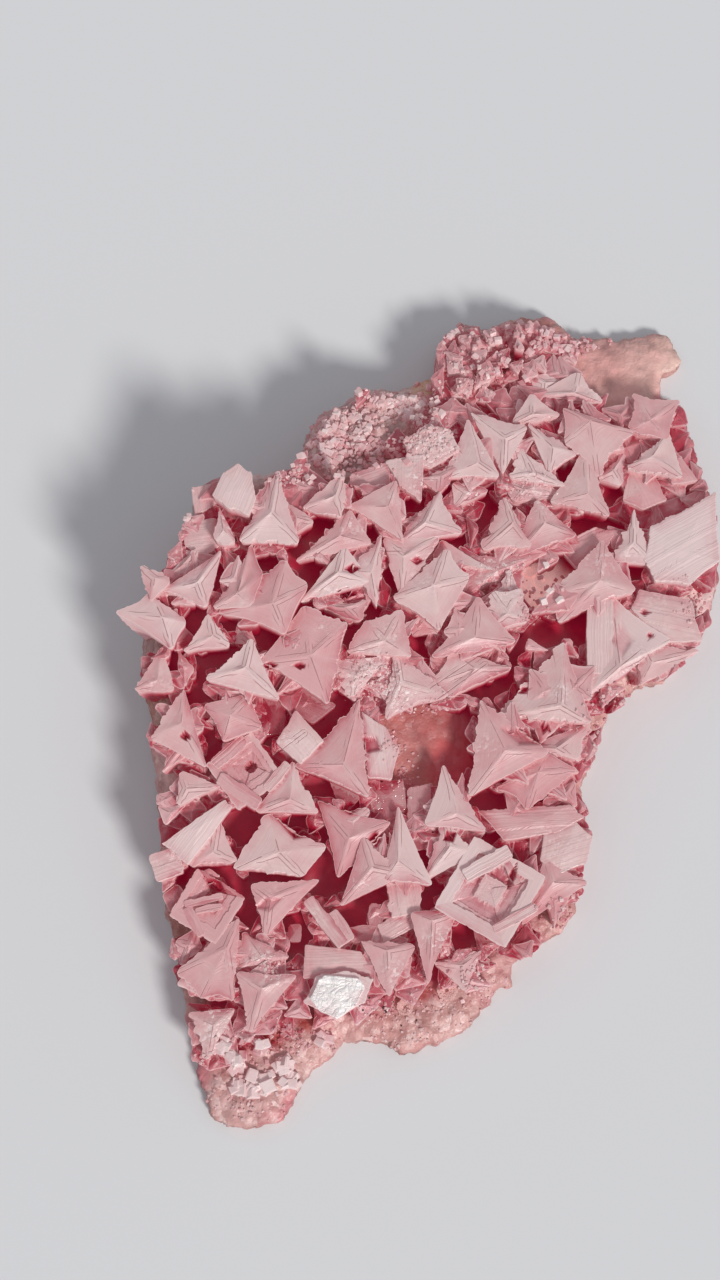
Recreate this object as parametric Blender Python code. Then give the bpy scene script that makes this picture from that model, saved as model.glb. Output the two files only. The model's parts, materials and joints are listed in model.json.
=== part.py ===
"""Halite specimen: a plate of salt crust with skeletal "hopper" crystals grown close together on it.

The crust is a low mound, high at one side and thin at the others, cut flat where it rests. The crystals
stand on it corner up. Each is a three- or four-pointed star at the top, because the cube's edges outgrew
its faces, and narrows to a stem below. A few lie face up and show a square frame with a stepped hollow.
Crystals that grew into each other are one solid.
"""

import math

import bmesh
import bpy
import numpy as np
from mathutils import Matrix, Vector
from mathutils.bvhtree import BVHTree

# ---------------------------------------------------------------------------------------------------
# Driving dimensions, in metres
# ---------------------------------------------------------------------------------------------------

GAP = 0.0003                    # air between pieces that touch
CLEARANCE = 0.00033             # room left round a crystal where another one would run into it
OVERGROWTH = 0.0004             # how far neighbouring crystals' tips grew past each other
CRUST_BASE = 0.0035             # thickness of the crust at its thin sides
MOUND_RISE = 0.0225             # how far the thick side stands above that
MOUND_REACH = 0.058             # distance over which it falls away
MOUND_TOP = (-0.034, 0.021)     # where the crust is thickest
RIM_WIDTH = 0.006               # band along the outline where the crust thins
LUMP_HEIGHT = 0.0012            # relief of the bare crust between and around the crystals
CELL = 0.0042                   # size of the crust's facets

STAR_SLOPE = 0.30               # how far a crystal's faces fall from its corner to its tips
STAR_WAIST = 0.78               # how near its corner the hollow sides of a star come
EDGE_DEPTH = 0.0022             # height of the steep edge around a crystal's top
EDGE_SCALE = 0.90               # size of a crystal at the bottom of that edge
FOOT_SCALE = 0.46               # size of its stem where it meets the crust
PLATE_SLOPE = 0.06              # how far a flat-topped crystal falls from its middle to its corners
NEAR_SIDE = 0.35                # share of a rim line's length that runs across the near side
SEAT_INSIDE = 0.0045            # least distance from the middle of a stem to the crust's outline

# The layout is drawn on a grid seen from one point above the plate: 360, 640 is the middle, a step is
# 0.2 mm, and the second number counts towards the viewer. A drawn point lies where the line of sight
# through it meets the height of the thing drawn.
STEP = 0.0002
MIDDLE = (360, 640)
SIGHT_ELEVATION = math.radians(72.0)
SIGHT_DISTANCE = 0.380
TARGET = Vector((0.0, 0.0, 0.014))
# How far the finished piece moves, so that its origin is in the middle of its footprint.
PLATE_SHIFT = Vector((-0.01362, 0.00839, 0.0))

OUTLINE = [
    (437, 345), (460, 326), (490, 328), (515, 317), (553, 320), (575, 335), (610, 340), (650, 335),
    (668, 337), (685, 362), (662, 380), (660, 398), (682, 404), (692, 440), (702, 480), (716, 500),
    (718, 560), (716, 600), (702, 640), (662, 684), (640, 690), (612, 714), (598, 745), (588, 775),
    (583, 800), (590, 835), (582, 872), (577, 912), (562, 936), (540, 946), (515, 966), (510, 985),
    (494, 990), (486, 1008), (465, 1030), (440, 1048), (402, 1058), (386, 1045), (345, 1044),
    (330, 1060), (310, 1072), (297, 1100), (282, 1125), (245, 1130), (212, 1122), (203, 1100),
    (197, 1070), (190, 1030), (178, 985), (171, 940), (163, 900), (159, 850), (157, 800), (151, 750),
    (146, 700), (140, 650), (146, 600), (168, 560), (190, 520), (198, 490), (225, 478), (262, 478),
    (292, 470), (303, 440), (320, 415), (345, 402), (362, 391), (400, 388), (435, 378),
]

# ---------------------------------------------------------------------------------------------------
# The crystals, by the solid they grew into. A star is its corner, its tips in order round it, and how
# far it stands above the crust in millimetres. A plate is a flat-topped crystal by its corners. A frame
# is a face-up hopper: its middle, half its side, its turn in degrees and its rise. A bar is a long
# prism: its two ends, its width and its rise.
# ---------------------------------------------------------------------------------------------------

CLUMPS = {
    "crystals_upper_left": {
        "stars": [
            ((271, 512), [(279, 469), (238, 541), (300, 543)], 9.5),
            ((296, 517), [(284, 500), (315, 522), (295, 534)], 7.5),
            ((223, 529), [(219, 506), (215, 541), (236, 542)], 7.0),
            ((299, 485), [(283, 474), (319, 489), (288, 506)], 5.5),
        ],
        "plates": [
            ([(213, 495), (223, 474), (237, 464), (251, 474), (255, 496), (249, 514), (228, 506)], 9.0),
            ([(183, 524), (215, 519), (222, 545), (200, 556), (186, 545)], 3.5),
            ([(192, 488), (212, 485), (214, 503), (196, 515)], 3.0),
        ],
    },
    "crystals_left_tip": {
        "stars": [
            ((162, 617), [(113, 612), (150, 592), (187, 621), (172, 650)], 9.0),
            ((155, 578), [(139, 565), (171, 580), (150, 602)], 8.5),
            ((197, 582), [(161, 590), (222, 549), (206, 607)], 8.0),
            ((184, 563), [(166, 577), (197, 547), (198, 576)], 5.0),
            ((157, 680), [(162, 645), (133, 690), (174, 690)], 8.0),
        ],
    },
    "crystals_left": {
        "stars": [
            ((237, 593), [(252, 542), (263, 575), (251, 606), (212, 608)], 8.5),
            ((272, 603), [(285, 559), (309, 585), (285, 635), (217, 613)], 9.5),
            ((213, 635), [(208, 612), (231, 646), (181, 652)], 7.5),
            ((243, 635), [(242, 612), (257, 646), (231, 641)], 4.5),
        ],
    },
    "crystal_left_star": {
        "stars": [
            ((245, 667), [(252, 637), (281, 700), (204, 679)], 9.5),
            ((226, 690), [(205, 684), (258, 693), (230, 700)], 6.0),
        ],
    },
    "crystals_left_knot": {
        "stars": [
            ((181, 723), [(184, 688), (207, 768), (150, 737)], 8.5),
            ((230, 715), [(203, 705), (250, 694), (263, 727), (222, 742)], 8.0),
        ],
    },
    "crystals_left_hopper": {
        "stars": [
            ((186, 788), [(180, 771), (223, 786), (177, 806)], 8.0),
            ((290, 798), [(293, 760), (320, 813), (254, 812)], 9.0),
        ],
        "plates": [
            ([(277, 742), (296, 711), (323, 741), (301, 763)], 8.0),
        ],
        "frames": [((245, 771), 27, -35, 7.0)],
    },
    "crystals_upper_centre": {
        "stars": [
            ((335, 495), [(345, 467), (342, 517), (301, 508)], 9.0),
            ((388, 506), [(397, 480), (404, 541), (346, 506)], 9.0),
            ((340, 535), [(350, 509), (372, 543), (294, 562)], 8.0),
        ],
        "plates": [
            ([(351, 500), (352, 474), (388, 463), (389, 485)], 5.0),
        ],
    },
    "crystals_centre_left": {
        "stars": [
            ((338, 572), [(344, 546), (372, 582), (298, 603)], 8.0),
            ((371, 572), [(382, 534), (377, 608), (352, 570)], 8.5),
            ((345, 607), [(315, 605), (372, 600), (361, 622)], 6.5),
            ((310, 655), [(304, 605), (348, 622), (328, 705), (261, 661)], 9.5),
        ],
    },
    "crystals_centre": {
        "stars": [
            ((403, 556), [(383, 538), (440, 536), (402, 603)], 7.5),
            ((433, 585), [(446, 548), (470, 577), (439, 631), (392, 598)], 9.0),
            ((424, 620), [(421, 600), (440, 632), (410, 634)], 5.5),
            ((385, 640), [(366, 620), (402, 608), (412, 657), (345, 652)], 8.5),
            ((400, 682), [(395, 650), (450, 696), (384, 720)], 8.0),
            ((355, 676), [(322, 660), (390, 657), (352, 697)], 7.0),
        ],
    },
    "crystals_middle_cluster": {
        "stars": [
            ((475, 637), [(478, 595), (517, 642), (430, 657)], 10.0),
            ((507, 613), [(492, 591), (521, 587), (529, 621), (484, 632)], 9.0),
            ((475, 668), [(450, 650), (513, 668), (450, 698), (424, 686)], 8.5),
        ],
    },
    "crystals_top_centre": {
        "stars": [
            ((441, 476), [(463, 464), (439, 493), (421, 478)], 7.5),
            ((425, 522), [(440, 490), (464, 533), (393, 547)], 8.0),
            ((455, 563), [(441, 539), (498, 572), (432, 557)], 6.5),
            ((478, 462), [(468, 418), (500, 477), (441, 478)], 9.0),
            ((468, 492), [(452, 482), (490, 490), (454, 508)], 6.5),
        ],
        "plates": [
            ([(386, 462), (423, 455), (421, 500), (400, 484)], 7.0),
            ([(404, 440), (426, 425), (450, 430), (459, 450), (430, 466), (409, 460)], 7.5),
        ],
    },
    "crystals_top": {
        "stars": [
            ((505, 438), [(470, 412), (528, 427), (503, 474)], 8.5),
            ((533, 472), [(520, 447), (567, 487), (508, 477)], 8.0),
            ((525, 489), [(497, 479), (547, 484), (566, 496), (514, 501)], 6.5),
        ],
    },
    "crystals_top_right": {
        "stars": [
            ((533, 413), [(532, 393), (562, 415), (512, 423)], 8.0),
            ((553, 447), [(527, 423), (578, 453), (549, 475)], 8.0),
            ((590, 420), [(562, 407), (635, 432), (598, 479), (564, 442)], 9.5),
            ((575, 392), [(579, 372), (604, 403), (533, 396)], 6.5),
            ((545, 382), [(521, 371), (569, 380), (543, 398)], 5.0),
        ],
    },
    "crystal_right_star": {
        "stars": [
            ((588, 493), [(585, 442), (610, 517), (549, 503)], 9.0),
            ((613, 470), [(628, 447), (622, 485), (597, 478)], 6.0),
        ],
    },
    "crystals_right_upper": {
        "stars": [
            ((650, 420), [(632, 392), (681, 399), (668, 440), (629, 430)], 8.0),
            ((652, 456), [(668, 432), (683, 478), (626, 468)], 8.0),
            ((633, 543), [(634, 507), (656, 566), (613, 561)], 8.0),
        ],
        "plates": [
            ([(672, 446), (697, 480), (672, 483), (664, 462)], 6.0),
            ([(628, 472), (652, 472), (666, 500), (642, 508), (624, 500)], 5.0),
            ([(645, 560), (651, 527), (716, 492), (719, 560), (690, 583), (655, 580)], 8.5),
        ],
    },
    "crystals_beside_channel": {
        "stars": [
            ((513, 522), [(504, 496), (532, 547), (481, 550)], 8.5),
            ((545, 522), [(537, 499), (578, 535), (512, 559)], 8.0),
            ((497, 570), [(470, 557), (546, 552), (465, 596)], 6.5),
        ],
    },
    "crystal_channel_blade": {
        "stars": [
            ((600, 580), [(603, 539), (637, 590), (557, 624), (543, 596)], 9.5),
        ],
        "plates": [
            ([(557, 546), (595, 528), (618, 530), (605, 547), (578, 568)], 5.5),
        ],
    },
    "crystals_right": {
        "stars": [
            ((620, 666), [(612, 596), (672, 640), (584, 698)], 9.0),
            ((652, 662), [(640, 640), (702, 650), (640, 684)], 7.0),
        ],
        "plates": [
            ([(640, 590), (690, 600), (702, 640), (660, 642), (632, 608)], 7.0),
        ],
        "bars": [((600, 600), (600, 672), 24, 7.5)],
    },
    "crystals_great_pair": {
        "stars": [
            ((561, 705), [(564, 641), (592, 723), (495, 717)], 10.0),
            ((505, 750), [(480, 699), (550, 752), (469, 797)], 10.5),
            ((556, 748), [(591, 722), (577, 760), (530, 746)], 8.0),
            ((538, 772), [(546, 752), (578, 769), (526, 811), (494, 789)], 8.0),
        ],
    },
    "crystals_centre_star": {
        "stars": [
            ((343, 764), [(360, 697), (369, 798), (293, 766)], 9.5),
        ],
        "plates": [
            ([(362, 712), (385, 728), (398, 750), (391, 779), (368, 776)], 7.5),
        ],
    },
    "crystals_lower_centre": {
        "stars": [
            ((349, 838), [(316, 799), (392, 822), (337, 879)], 8.5),
            ((372, 867), [(362, 835), (406, 874), (339, 907)], 9.5),
            ((398, 860), [(398, 805), (433, 886), (384, 880)], 9.5),
        ],
        "plates": [
            ([(386, 882), (420, 886), (418, 912), (392, 917)], 7.0),
            ([(370, 780), (405, 788), (404, 812), (370, 806)], 3.0),
        ],
    },
    "crystals_lower_right_star": {
        "stars": [
            ((457, 813), [(443, 763), (487, 831), (424, 825)], 9.5),
            ((450, 846), [(445, 815), (479, 853), (421, 884)], 9.0),
        ],
    },
    "crystals_great_hopper": {
        "stars": [
            ((553, 882), [(546, 856), (589, 883), (521, 926)], 7.5),
        ],
        "plates": [
            ([(478, 811), (569, 805), (584, 817), (560, 830), (505, 840)], 7.0),
            ([(545, 832), (575, 822), (592, 838), (586, 862), (560, 872), (541, 860)], 7.0),
        ],
        "frames": [((490, 892), 40, 30, 9.0)],
    },
    "crystals_lower_fan": {
        "stars": [
            ((432, 920), [(411, 912), (460, 911), (428, 986)], 9.0),
            ((387, 950), [(360, 940), (416, 945), (389, 998)], 8.0),
            ((462, 965), [(432, 963), (482, 950), (466, 993)], 5.0),
        ],
        "plates": [
            ([(378, 925), (400, 915), (415, 905), (414, 925), (385, 943)], 6.0),
        ],
    },
    "crystals_lower_left_star": {
        "stars": [
            ((213, 852), [(219, 814), (238, 862), (188, 866)], 8.0),
        ],
        "plates": [
            ([(162, 843), (185, 828), (225, 800), (232, 806), (188, 864)], 9.0),
            ([(150, 856), (176, 847), (182, 872), (158, 881)], 8.0),
        ],
    },
    "crystals_lower_left_twin": {
        "stars": [
            ((279, 852), [(268, 812), (328, 846), (303, 876), (232, 869)], 9.0),
        ],
    },
    "crystals_lower_left_hopper": {
        "stars": [
            ((226, 948), [(239, 917), (234, 1003), (201, 1000), (175, 973)], 9.0),
        ],
        "frames": [((207, 906), 27, 32, 7.0)],
    },
    "crystals_bottom": {
        "stars": [
            ((270, 898), [(250, 884), (321, 879), (265, 937)], 9.0),
            ((262, 957), [(243, 930), (291, 957), (238, 968)], 7.5),
            ((262, 988), [(236, 972), (298, 975), (250, 1034)], 9.0),
            ((213, 1025), [(187, 1013), (236, 1008), (207, 1062)], 7.0),
        ],
        "plates": [
            ([(304, 1002), (318, 976), (345, 972), (373, 979), (365, 1000), (336, 1019)], 8.0),
            ([(304, 978), (306, 945), (360, 952), (374, 975)], 6.5),
        ],
        "bars": [
            ((309, 900), (343, 944), 12, 7.0),
            ((331, 914), (348, 940), 14, 6.5),
        ],
    },
}

MILLIMETRE = 0.001


# ---------------------------------------------------------------------------------------------------
# Places and heights
# ---------------------------------------------------------------------------------------------------

VIEW_UP = Vector((0.0, math.sin(SIGHT_ELEVATION), math.cos(SIGHT_ELEVATION)))
SIGHT = TARGET + SIGHT_DISTANCE * Vector((0.0, -math.cos(SIGHT_ELEVATION), math.sin(SIGHT_ELEVATION)))


def on_plate(spot, height):
    """The point at a height on the line of sight through a spot of the layout grid."""
    across = float(spot[0] - MIDDLE[0]) * STEP
    up = float(MIDDLE[1] - spot[1]) * STEP
    drawn = TARGET + Vector((across, 0.0, 0.0)) + up * VIEW_UP
    share = (height - SIGHT.z) / (drawn.z - SIGHT.z)
    return SIGHT + share * (drawn - SIGHT) + PLATE_SHIFT


def mound(x, y):
    """Height of the crust away from its rim: one rounded mound on a thin plate."""
    east = x - MOUND_TOP[0] - PLATE_SHIFT.x
    north = y - MOUND_TOP[1] - PLATE_SHIFT.y
    return CRUST_BASE + MOUND_RISE * np.exp(-(east ** 2 + north ** 2) / MOUND_REACH ** 2)


def rim_height(x, y):
    """Height of the crust at its outline."""
    return 0.5 * mound(x, y) + 0.0005


def outline_points():
    """The outline on the ground. Its near side was drawn at the foot of the rim, the rest at its top."""
    points = []
    for spot, before, after in zip(OUTLINE, OUTLINE[-1:] + OUTLINE[:-1], OUTLINE[1:] + OUTLINE[:1]):
        run = Vector(after) - Vector(before)
        near = run.x / run.length < -NEAR_SIDE
        point = on_plate(spot, 0.0)
        for _ in range(6):
            point = on_plate(spot, 0.0005 if near else float(rim_height(point.x, point.y)))
        points.append(point[:2])
    return np.array(points)


RIM_POINTS = outline_points()


def inside_distance(x, y):
    """Distance from points to the crust's outline, positive inside it."""
    x = np.atleast_1d(np.asarray(x, dtype=float))
    y = np.atleast_1d(np.asarray(y, dtype=float))
    start = RIM_POINTS
    end = np.roll(RIM_POINTS, -1, axis=0)
    run = end - start
    away = np.stack([x[:, None] - start[:, 0], y[:, None] - start[:, 1]], axis=-1)
    share = np.clip((away * run).sum(-1) / (run ** 2).sum(-1), 0.0, 1.0)
    nearest = np.sqrt(((away - share[..., None] * run) ** 2).sum(-1)).min(axis=1)
    spans = (start[:, 1] > y[:, None]) != (end[:, 1] > y[:, None])
    climb = np.where(run[:, 1] == 0, 1e-12, run[:, 1])
    crossing = start[:, 0] + (y[:, None] - start[:, 1]) * run[:, 0] / climb
    inside = ((spans & (x[:, None] < crossing)).sum(axis=1) % 2) == 1
    return np.where(inside, nearest, -nearest)


def crust_top(x, y):
    """The mound, brought down to a blunt rim along the outline."""
    full = mound(x, y)
    rim = rim_height(x, y)
    inward = np.clip(inside_distance(x, y) / RIM_WIDTH, 0.0, 1.0)
    return rim + (full - rim) * inward * (2.0 - inward)


def standing_point(spot, rise):
    """Where a spot of the layout lies when it stands a rise above the mound."""
    point = on_plate(spot, CRUST_BASE + rise)
    for _ in range(6):
        point = on_plate(spot, float(mound(point.x, point.y)) + rise)
    return point


# ---------------------------------------------------------------------------------------------------
# Solids
# ---------------------------------------------------------------------------------------------------

parts = None
tools = None


def link(mesh, name, collection):
    """A new object that shows a mesh; those among the cutters are drawn as wire and not rendered."""
    item = bpy.data.objects.new(name, mesh)
    collection.objects.link(item)
    if collection is tools:
        item.hide_render = True
        item.display_type = "WIRE"
    return item


def loft(rings, name):
    """A closed skin over rings of equal count: a fan to the first ring's middle point, walls, a flat end."""
    shape = bmesh.new()
    peak = shape.verts.new(rings[0][0])
    loops = [[shape.verts.new(point) for point in ring] for ring in rings[1:]]
    count = len(loops[0])
    for k in range(count):
        after = (k + 1) % count
        shape.faces.new((peak, loops[0][k], loops[0][after]))
        for upper, lower in zip(loops, loops[1:]):
            shape.faces.new((upper[k], lower[k], lower[after], upper[after]))
    shape.faces.new(loops[-1])
    bmesh.ops.triangulate(shape, faces=shape.faces[:])
    bmesh.ops.recalc_face_normals(shape, faces=shape.faces[:])
    mesh = bpy.data.meshes.new(name)
    shape.to_mesh(mesh)
    shape.free()
    return mesh


def resting(outline, gap):
    """A flat foot with this outline that lies along the crust and clears it by a gap."""
    middle = sum(outline, Vector((0.0, 0.0))) / len(outline)
    spots = [middle]
    for point, after in zip(outline, outline[1:] + outline[:1]):
        spots += [point, (point + after) / 2, (point + middle) / 2]
    x = np.array([spot.x for spot in spots])
    y = np.array([spot.y for spot in spots])
    under = crust_top(x, y)
    terms = np.stack([x, y, np.ones(len(x))], axis=1)
    plane = np.linalg.lstsq(terms, under, rcond=None)[0]
    lift = float((under - terms @ plane).max()) + gap
    return [Vector((p.x, p.y, float(plane @ np.array([p.x, p.y, 1.0])) + lift)) for p in outline]


def crystal(middle, corners, rise, slope, waist):
    """A crystal by its middle and corners: a low peak, sides drawn in by the waist, walls down to a stem.

    Each side between two corners has one or two points, moved towards the middle by the waist. A steep
    edge runs round the top; below it the walls draw in, and the stem ends a gap above the crust.
    """
    peak = standing_point(middle, rise * MILLIMETRE)
    tips = []
    for spot in corners:
        tip = on_plate(spot, peak.z)
        for _ in range(6):
            reach = math.hypot(tip.x - peak.x, tip.y - peak.y)
            lean = 0.5 * float(mound(tip.x, tip.y) - mound(peak.x, peak.y))
            tip = on_plate(spot, peak.z - slope * reach + lean)
        tips.append(tip)
    rim = []
    for tip, after in zip(tips, tips[1:] + tips[:1]):
        rim.append(tip)
        if waist < 1.0:
            length = (after - tip).length
            for share in ((0.34, 0.66) if length > 0.009 else (0.5,)):
                side = tip.lerp(after, share)
                rim.append(peak + waist * (side - peak))
    seat = Vector((peak.x, peak.y))
    inward = float(inside_distance(seat.x, seat.y)[0])
    if inward < SEAT_INSIDE:
        seat = seat - (SEAT_INSIDE - inward) * (seat - PLATE_SHIFT.xy).normalized()
    outline = []
    for point in rim:
        away = Vector((point.x - peak.x, point.y - peak.y, 0.0)).normalized()
        outline.append(point + OVERGROWTH * away)
    foot = resting([seat + FOOT_SCALE * (point.xy - peak.xy) for point in outline], GAP)
    wall = []
    for point, low in zip(outline, foot):
        drawn_in = (EDGE_SCALE - FOOT_SCALE) / (1.0 - FOOT_SCALE)
        spot = low.lerp(point, drawn_in)
        spot.z = max(point.z - EDGE_DEPTH, low.z + 0.5 * (point.z - low.z))
        wall.append(spot)
    return loft([[peak], outline, wall, foot], "crystal")


def square_corners(middle, half, turn):
    """The corners of a square of the layout."""
    spin = math.radians(turn)
    ring = []
    for east, south in ((-half, -half), (half, -half), (half, half), (-half, half)):
        across = east * math.cos(spin) - south * math.sin(spin)
        down = east * math.sin(spin) + south * math.cos(spin)
        ring.append((middle[0] + across, middle[1] + down))
    return ring


def frame_hopper(middle, half, turn, rise):
    """A face-up hopper: a square block that narrows downwards, with square steps sunk in its top."""
    block = crystal(middle, square_corners(middle, half, turn), rise, 0.0, 1.0)
    top = standing_point(middle, rise * MILLIMETRE)
    solid = link(block, "frame_block", tools)
    for scale, sink in ((0.62, 0.0016), (0.36, 0.0040)):
        side = scale * half * STEP * math.sqrt(2.0)
        step = bmesh.new()
        bmesh.ops.create_cone(
            step, cap_ends=True, segments=4, radius1=0.9 * side, radius2=side, depth=2 * sink
        )
        place = Matrix.Translation(top) @ Matrix.Rotation(math.radians(45.0 - turn), 4, "Z")
        bmesh.ops.transform(step, matrix=place, verts=step.verts)
        mesh = bpy.data.meshes.new("frame_step")
        step.to_mesh(mesh)
        step.free()
        join(solid, link(mesh, "frame_step", tools), "DIFFERENCE")
    return solid.data.copy()


def swollen(mesh, amount):
    """A copy whose faces have all moved outwards by an amount: the space a crystal needs round it."""
    shape = bmesh.new()
    shape.from_mesh(mesh)
    bmesh.ops.triangulate(shape, faces=shape.faces[:])
    shape.normal_update()
    moves = []
    for vertex in shape.verts:
        normals = np.array([face.normal for face in vertex.link_faces])
        move = np.linalg.lstsq(normals, np.full(len(normals), amount), rcond=0.05)[0]
        length = float(np.linalg.norm(move))
        moves.append(Vector(move * min(1.0, 4.0 * amount / length)))
    for vertex, move in zip(shape.verts, moves):
        vertex.co += move
    copy = bpy.data.meshes.new("clearance")
    shape.to_mesh(copy)
    shape.free()
    return copy


def join(solid, other, operation):
    """Joins or cuts a solid by another one with an exact Boolean, which is then applied."""
    boolean = solid.modifiers.new("join", "BOOLEAN")
    boolean.operation = operation
    boolean.solver = "EXACT"
    boolean.object = other
    graph = bpy.context.evaluated_depsgraph_get()
    graph.update()
    result = bpy.data.meshes.new_from_object(solid.evaluated_get(graph))
    solid.modifiers.clear()
    solid.data = result


def bar_corners(start, end, width):
    """The four corners of a straight bar between two spots of the layout."""
    run = Vector(end) - Vector(start)
    across = Vector((-run.y, run.x)).normalized() * width / 2
    return [tuple(Vector(start) + across), tuple(Vector(end) + across), tuple(Vector(end) - across),
            tuple(Vector(start) - across)]


def crystal_meshes(clump):
    """One mesh for each crystal of a clump."""
    meshes = []
    for middle, tips, rise in clump.get("stars", []):
        meshes.append(crystal(middle, tips, rise, STAR_SLOPE, STAR_WAIST))
    for corners, rise in clump.get("plates", []):
        middle = tuple(np.mean(corners, axis=0))
        meshes.append(crystal(middle, corners, rise, PLATE_SLOPE, 1.0))
    for start, end, width, rise in clump.get("bars", []):
        corners = bar_corners(start, end, width)
        middle = tuple(np.mean(corners, axis=0))
        meshes.append(crystal(middle, corners, rise, 0.0, 1.0))
    for middle, half, turn, rise in clump.get("frames", []):
        meshes.append(frame_hopper(middle, half, turn, rise))
    return meshes


def grown_together(meshes):
    """The crystals in groups: each group holds those that run into each other."""
    trees = []
    for mesh in meshes:
        shape = bmesh.new()
        shape.from_mesh(mesh)
        trees.append(BVHTree.FromBMesh(shape))
        shape.free()
    groups = []
    for number, tree in enumerate(trees):
        met = [group for group in groups if any(tree.overlap(trees[other]) for other in group)]
        groups = [group for group in groups if group not in met]
        groups.append(sorted([number] + [other for group in met for other in group]))
    return [[meshes[number] for number in group] for group in sorted(groups)]


def box_of(mesh):
    """Lowest and highest corners of a mesh."""
    points = np.array([v.co for v in mesh.vertices])
    return points.min(axis=0), points.max(axis=0)


def touching(one, other):
    """Whether two boxes meet."""
    return bool(np.all(one[0] <= other[1]) and np.all(other[0] <= one[1]))


def islands(shape):
    """The separate bodies of a mesh, largest first."""
    left = set(shape.verts)
    found = []
    while left:
        seed = left.pop()
        group = {seed}
        edge = [seed]
        while edge:
            vertex = edge.pop()
            for line in vertex.link_edges:
                neighbour = line.other_vert(vertex)
                if neighbour in left:
                    left.remove(neighbour)
                    group.add(neighbour)
                    edge.append(neighbour)
        found.append(group)
    found.sort(key=len, reverse=True)
    return found


def finish(item, paint):
    """Merges doubled points, drops the crumbs that a cut left loose, and makes the skin triangles."""
    shape = bmesh.new()
    shape.from_mesh(item.data)
    bmesh.ops.remove_doubles(shape, verts=shape.verts[:], dist=0.000001)
    crumbs = [vertex for group in islands(shape)[1:] for vertex in group]
    bmesh.ops.delete(shape, geom=crumbs, context="VERTS")
    bmesh.ops.triangulate(shape, faces=shape.faces[:])
    bmesh.ops.recalc_face_normals(shape, faces=shape.faces[:])
    shape.to_mesh(item.data)
    shape.free()
    item.data.materials.clear()
    item.data.materials.append(paint)


# ---------------------------------------------------------------------------------------------------
# Build
# ---------------------------------------------------------------------------------------------------

def material(name, colour, roughness):
    """A plain Principled material."""
    made = bpy.data.materials.new(name)
    made.use_nodes = True
    shader = made.node_tree.nodes["Principled BSDF"]
    shader.inputs["Base Color"].default_value = (*colour, 1.0)
    shader.inputs["Roughness"].default_value = roughness
    shader.inputs["Metallic"].default_value = 0.0
    return made


def crystal_seats():
    """The middle and rise of every crystal."""
    seats = []
    for clump in CLUMPS.values():
        seats += [(star[0], star[2]) for star in clump.get("stars", [])]
        seats += [(np.mean(corners, axis=0), rise) for corners, rise in clump.get("plates", [])]
        seats += [(np.mean(bar[:2], axis=0), bar[3]) for bar in clump.get("bars", [])]
        seats += [(frame[0], frame[3]) for frame in clump.get("frames", [])]
    return seats


def salt_crust():
    """The crust: a grid raised to the mound's height, cut to the outline by a prism."""
    low = RIM_POINTS.min(axis=0) - CELL
    high = RIM_POINTS.max(axis=0) + CELL
    cells = np.ceil((high - low) / CELL).astype(int)
    shape = bmesh.new()
    bmesh.ops.create_grid(shape, x_segments=int(cells[0]), y_segments=int(cells[1]), size=0.5)
    middle = (low + high) / 2
    seats = np.array([standing_point(spot, rise * MILLIMETRE)[:2] for spot, rise in crystal_seats()])
    generator = np.random.default_rng(11)
    for vertex in shape.verts:
        vertex.co.x = middle[0] + vertex.co.x * (high[0] - low[0])
        vertex.co.y = middle[1] + vertex.co.y * (high[1] - low[1])
    x = np.array([v.co.x for v in shape.verts])
    y = np.array([v.co.y for v in shape.verts])
    bare = np.sqrt(((x[:, None] - seats[:, 0]) ** 2 + (y[:, None] - seats[:, 1]) ** 2)).min(axis=1)
    bare = np.clip((bare - 0.007) / 0.004, 0.0, 1.0)
    height = crust_top(x, y) + bare * LUMP_HEIGHT * generator.uniform(-0.6, 1.0, len(x))
    for vertex, level in zip(shape.verts, height):
        vertex.co.z = level
    bmesh.ops.triangulate(shape, faces=shape.faces[:])
    top = shape.faces[:]
    made = bmesh.ops.extrude_face_region(shape, geom=top)
    for piece in made["geom"]:
        if isinstance(piece, bmesh.types.BMVert):
            piece.co.z = 0.0
    bmesh.ops.recalc_face_normals(shape, faces=shape.faces[:])
    bmesh.ops.dissolve_limit(
        shape, angle_limit=0.001,
        verts=[v for v in shape.verts if v.co.z == 0.0],
        edges=[e for e in shape.edges if all(v.co.z == 0.0 for v in e.verts)],
    )
    mesh = bpy.data.meshes.new("salt_crust")
    shape.to_mesh(mesh)
    shape.free()
    crust = link(mesh, "salt_crust", parts)
    drawn = bpy.data.curves.new("outline", "CURVE")
    drawn.dimensions = "2D"
    drawn.fill_mode = "BOTH"
    drawn.extrude = 0.05
    line = drawn.splines.new("POLY")
    line.points.add(len(RIM_POINTS) - 1)
    for point, (px, py) in zip(line.points, RIM_POINTS):
        point.co = (px, py, 0.0, 1.0)
    line.use_cyclic_u = True
    guide = bpy.data.objects.new("outline", drawn)
    tools.objects.link(guide)
    bpy.context.view_layer.update()
    graph = bpy.context.evaluated_depsgraph_get()
    prism_mesh = bpy.data.meshes.new_from_object(guide.evaluated_get(graph))
    shape = bmesh.new()
    shape.from_mesh(prism_mesh)
    bmesh.ops.remove_doubles(shape, verts=shape.verts[:], dist=0.00001)
    bmesh.ops.recalc_face_normals(shape, faces=shape.faces[:])
    shape.to_mesh(prism_mesh)
    shape.free()
    prism = link(prism_mesh, "outline_prism", tools)
    bpy.data.objects.remove(guide)
    join(crust, prism, "INTERSECT")
    finish(crust, material("pink salt crust", (0.60, 0.24, 0.20), 0.6))


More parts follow.
